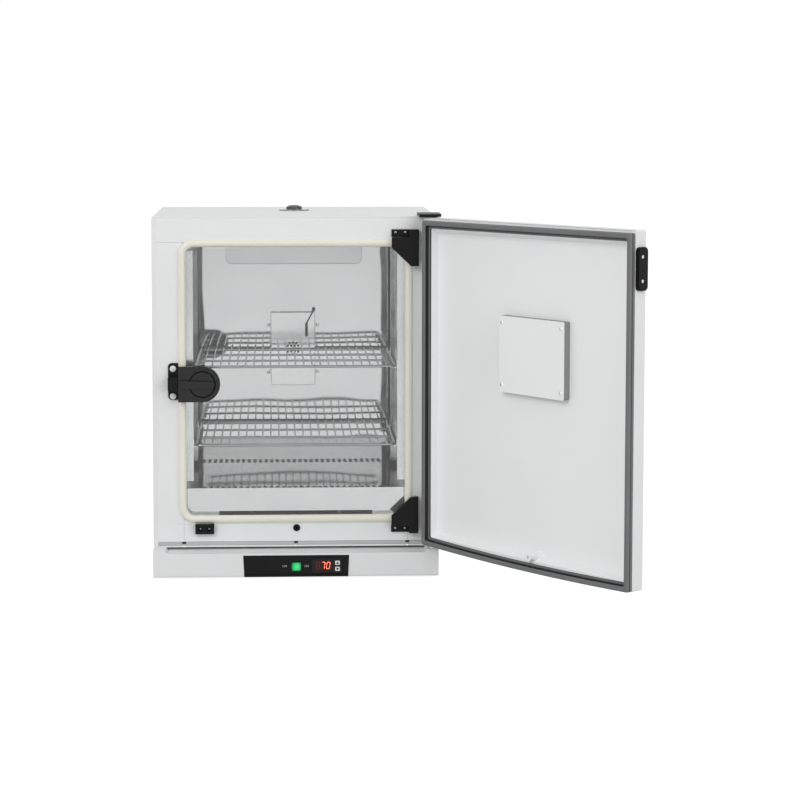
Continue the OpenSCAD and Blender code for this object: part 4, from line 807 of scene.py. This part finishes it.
def cover_side_shade():
    """The plate's outline, grown by the ribbon's step, carried from the pan to under the face."""
    half_w, half_h = COVER_W / 2 + SIDE_SHADE_OUT, COVER_H / 2 + SIDE_SHADE_OUT
    loop = rounded_loop(COVER_X - half_w, COVER_X + half_w, COVER_Z - half_h, COVER_Z + half_h,
                        SIDE_SHADE_ROUND, straight=4, corner=6)[0]
    x = loop[:, :1] + 0 * SIDE_SHADE_RISE
    z = loop[:, 1:] + 0 * SIDE_SHADE_RISE
    y = PAN_FLOOR + SIDE_SHADE_RISE[None] + 0 * x
    return swung(np.stack([x, y, z], -1))


# painted shade: the grey ribbon stands for the shade on the plate's sides
side_shade_ribbon = surface("cover_side_shade", cover_side_shade()[::-1], "outer_door", finishes["plate_side_shade_grey"],
              closed_u=True)
print("cover pad", SIDE_SHADE_RISE[-1] / MM, "mm thick")

# %% [markdown]
# The display: two lit seven-segment digits and a dark one. Each segment is a flat six-sided bar,
# and the digits lean a little to the right. Bars as faces stay sharp at any distance and glow by
# themselves, where a picture of the digits would blur.


# %% Display
def glow(name, colour, strength):
    """A lit surface: emission over a dark base, with a gloss that varies by a fine noise."""
    material, tree, out, shader = new_material(name)
    shader.inputs["Base Color"].default_value = opaque([c * 0.3 for c in colour])
    shader.inputs["Emission Color"].default_value = opaque(colour)
    shader.inputs["Emission Strength"].default_value = strength
    gloss = ranged(tree, noise(tree, 400), 0.3, 0.5)
    tree.links.new(gloss, shader.inputs["Roughness"])
    return material


DIGIT_H, DIGIT_W, BAR, BAR_GAP = 0.0118, 0.0055, 0.00095, 0.0003
DIGIT_LOW, DIGIT_LEAN = 0.0182, 0.14
DISPLAY_Y = -0.2180
SEGMENTS = {"a": (0.5, 1, 0), "b": (1, 0.75, 1), "c": (1, 0.25, 1), "d": (0.5, 0, 0),
            "e": (0, 0.25, 1), "f": (0, 0.75, 1), "g": (0.5, 0.5, 0)}
SHAPES = {"7": "abc", "0": "abcdef", "8": "abcdefg"}


def fan_of(name, x, y, z, body, finish):
    """A flat piece facing the front: the outline's points, joined to their own middle."""
    ring = np.stack([x, 0 * x + y, z], -1)
    middle = np.repeat(ring.mean(0)[None], len(ring), 0)
    return surface(name, np.stack([middle, ring]), body, finish, closed_v=True)


def segment(name, left, key, finish):
    """A flat bar with pointed ends, upright or level, sheared by the digit's lean."""
    fx, fz, upright = SEGMENTS[key]
    half = (DIGIT_H / 4 if upright else DIGIT_W / 2) - BAR_GAP
    outline = np.array([(-half, 0), (-half + BAR / 2, -BAR / 2), (half - BAR / 2, -BAR / 2),
                        (half, 0), (half - BAR / 2, BAR / 2), (-half + BAR / 2, BAR / 2)])
    if upright:
        outline = outline[:, ::-1] * (1, -1)
    z = DIGIT_LOW + fz * DIGIT_H + outline[:, 1]
    x = left + fx * DIGIT_W + outline[:, 0] + DIGIT_LEAN * (z - DIGIT_LOW)
    return fan_of(name, x, DISPLAY_Y, z, "cabinet", finish)


red_glow = glow("digit_lit", (1.0, 0.17, 0.10), 2.8)
dim_glow = glow("digit_dim", (0.25, 0.01, 0.005), 0.10)
bars = [segment(f"bar_{left}_{key}", left, key, finish)
        for digit, left, finish in (("8", 0.0350, dim_glow), ("7", 0.0444, red_glow),
                                    ("0", 0.0534, red_glow))
        for key in SHAPES[digit]]
joined("display_digits", bars)

# %% [markdown]
# Printed marks: OFF and ON beside the rocker, and an arrow on each key. Text starts as a curve,
# which is made a mesh before it is put in its place.

# %% Marks
PRINT_Y = -0.2157 - 0.00006  # just in front of the panel's face
PRINT_Z, PRINT_SIZE = 0.0226, 0.0050
KEY_X, KEY_FACE_Y, ARROW = 0.07355, -0.21936, 0.0030


def letters(name, text, x):
    """Flat letters facing the front."""
    curve = bpy.data.curves.new(name, "FONT")
    curve.body = text
    curve.size = PRINT_SIZE
    curve.align_x = "CENTER"
    curve.align_y = "CENTER"
    holder = bpy.data.objects.new(name + "_text", curve)
    bpy.context.scene.collection.objects.link(holder)
    bpy.context.view_layer.update()
    mesh = bpy.data.meshes.new_from_object(holder)
    bpy.data.objects.remove(holder)
    mesh.transform(Matrix.Translation((x, PRINT_Y, PRINT_Z)) @ Matrix.Rotation(math.pi / 2, 4, "X"))
    mesh.materials.clear()
    mesh.materials.append(finishes["print_grey"])
    obj = bpy.data.objects.new(name, mesh)
    bpy.context.scene.collection.objects.link(obj)
    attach(obj, "cabinet")
    print(text, "has", len(mesh.polygons), "faces")


def arrow(name, z, up, body):
    """A small triangle on a key."""
    outline = ARROW * np.array([(-1, -0.6), (1, -0.6), (0, 0.8)])
    if not up:
        outline = outline[::-1] * (1, -1)
    fan_of(name, KEY_X + outline[:, 0], KEY_FACE_Y, z + outline[:, 1], body,
           finishes["gloss_black"])


letters("mark_off", "OFF", -0.0205)
letters("mark_on", "ON", 0.0185)
arrow("arrow_up", 0.0288, True, "up_button")
arrow("arrow_down", 0.0179, False, "down_button")

# %% [markdown]
# The studio's floor is pale. The camera sees it as white, also in metal and through glass, but it
# keeps a faint shadow, because a little diffuse is added to its light.

# %% Floor
FLOOR_HALF = 30.0
FLOOR_DROP = 0.0002
SEEN_RAYS = ("Is Camera Ray", "Is Glossy Ray", "Is Transmission Ray")


def floor_material():
    """White for the camera, glossy and transmitted rays, with some diffuse for the shadow."""
    material, tree, out, shader = new_material("floor")
    shader.inputs["Base Color"].default_value = (0.6, 0.6, 0.6, 1)
    shader.inputs["Roughness"].default_value = 0.9
    bright = tree.nodes.new("ShaderNodeEmission")
    bright.inputs["Strength"].default_value = 0.92
    soft = tree.nodes.new("ShaderNodeBsdfDiffuse")
    soft.inputs["Color"].default_value = (0.26, 0.26, 0.26, 1)
    both = tree.nodes.new("ShaderNodeAddShader")
    tree.links.new(bright.outputs[0], both.inputs[0])
    tree.links.new(soft.outputs[0], both.inputs[1])
    by_ray(tree, any_ray(tree, *SEEN_RAYS), shader, both, out)
    return material


floor_mesh = bpy.data.meshes.new("floor")
floor_mesh.from_pydata([(x * FLOOR_HALF, y * FLOOR_HALF, 0)
                        for x, y in ((-1, -1), (1, -1), (1, 1), (-1, 1))], [], [(0, 1, 2, 3)])
floor_mesh.materials.append(floor_material())
floor = bpy.data.objects.new("floor", floor_mesh)
floor.location.z = -FLOOR_DROP
bpy.context.scene.collection.objects.link(floor)
print("floor", 2 * FLOOR_HALF, "m wide")

# %% [markdown]
# The surround is white where it is seen, and lights the object with less, so that pale paint
# doesn't clip to white.

# %% Surround
SKY_LIGHT, SKY_SEEN = 0.62, 1.0


def background(tree, strength):
    """A white background of a given strength."""
    shader = tree.nodes.new("ShaderNodeBackground")
    shader.inputs["Color"].default_value = (1, 1, 1, 1)
    shader.inputs["Strength"].default_value = strength
    return shader


world = bpy.data.worlds.new("studio")
bpy.context.scene.world = world
world.use_nodes = True
sky = world.node_tree
sky.nodes.clear()
by_ray(sky, any_ray(sky, *SEEN_RAYS), background(sky, SKY_LIGHT), background(sky, SKY_SEEN),
       sky.nodes.new("ShaderNodeOutputWorld"))
print("surround gives", SKY_LIGHT, "and shows as", SKY_SEEN)

# %% [markdown]
# Three large soft lamps light it: the strongest from the upper left, one from the right, and a
# faint one from above.

# %% Lamps
OBJECT_MIDDLE = (0.0, 0.0, 0.35)


def soft_lamp(name, at, aim, size, watts):
    """A square area lamp that faces a point."""
    data = bpy.data.lights.new(name, "AREA")
    data.shape = "SQUARE"
    data.size = size
    data.energy = watts
    lamp = bpy.data.objects.new(name, data)
    lamp.location = at
    lamp.rotation_euler = (Vector(aim) - Vector(at)).to_track_quat("-Z", "Y").to_euler()
    bpy.context.scene.collection.objects.link(lamp)
    print(name, "lamp of", watts, "W")


soft_lamp("key", (-2.6, -4.2, 3.2), OBJECT_MIDDLE, 2.2, 82)
soft_lamp("fill", (3.0, -3.6, 1.8), OBJECT_MIDDLE, 2.6, 53)
soft_lamp("top", (1.6, 0.0, 3.0), (0.1, 0.0, 0.5), 2.0, 10)
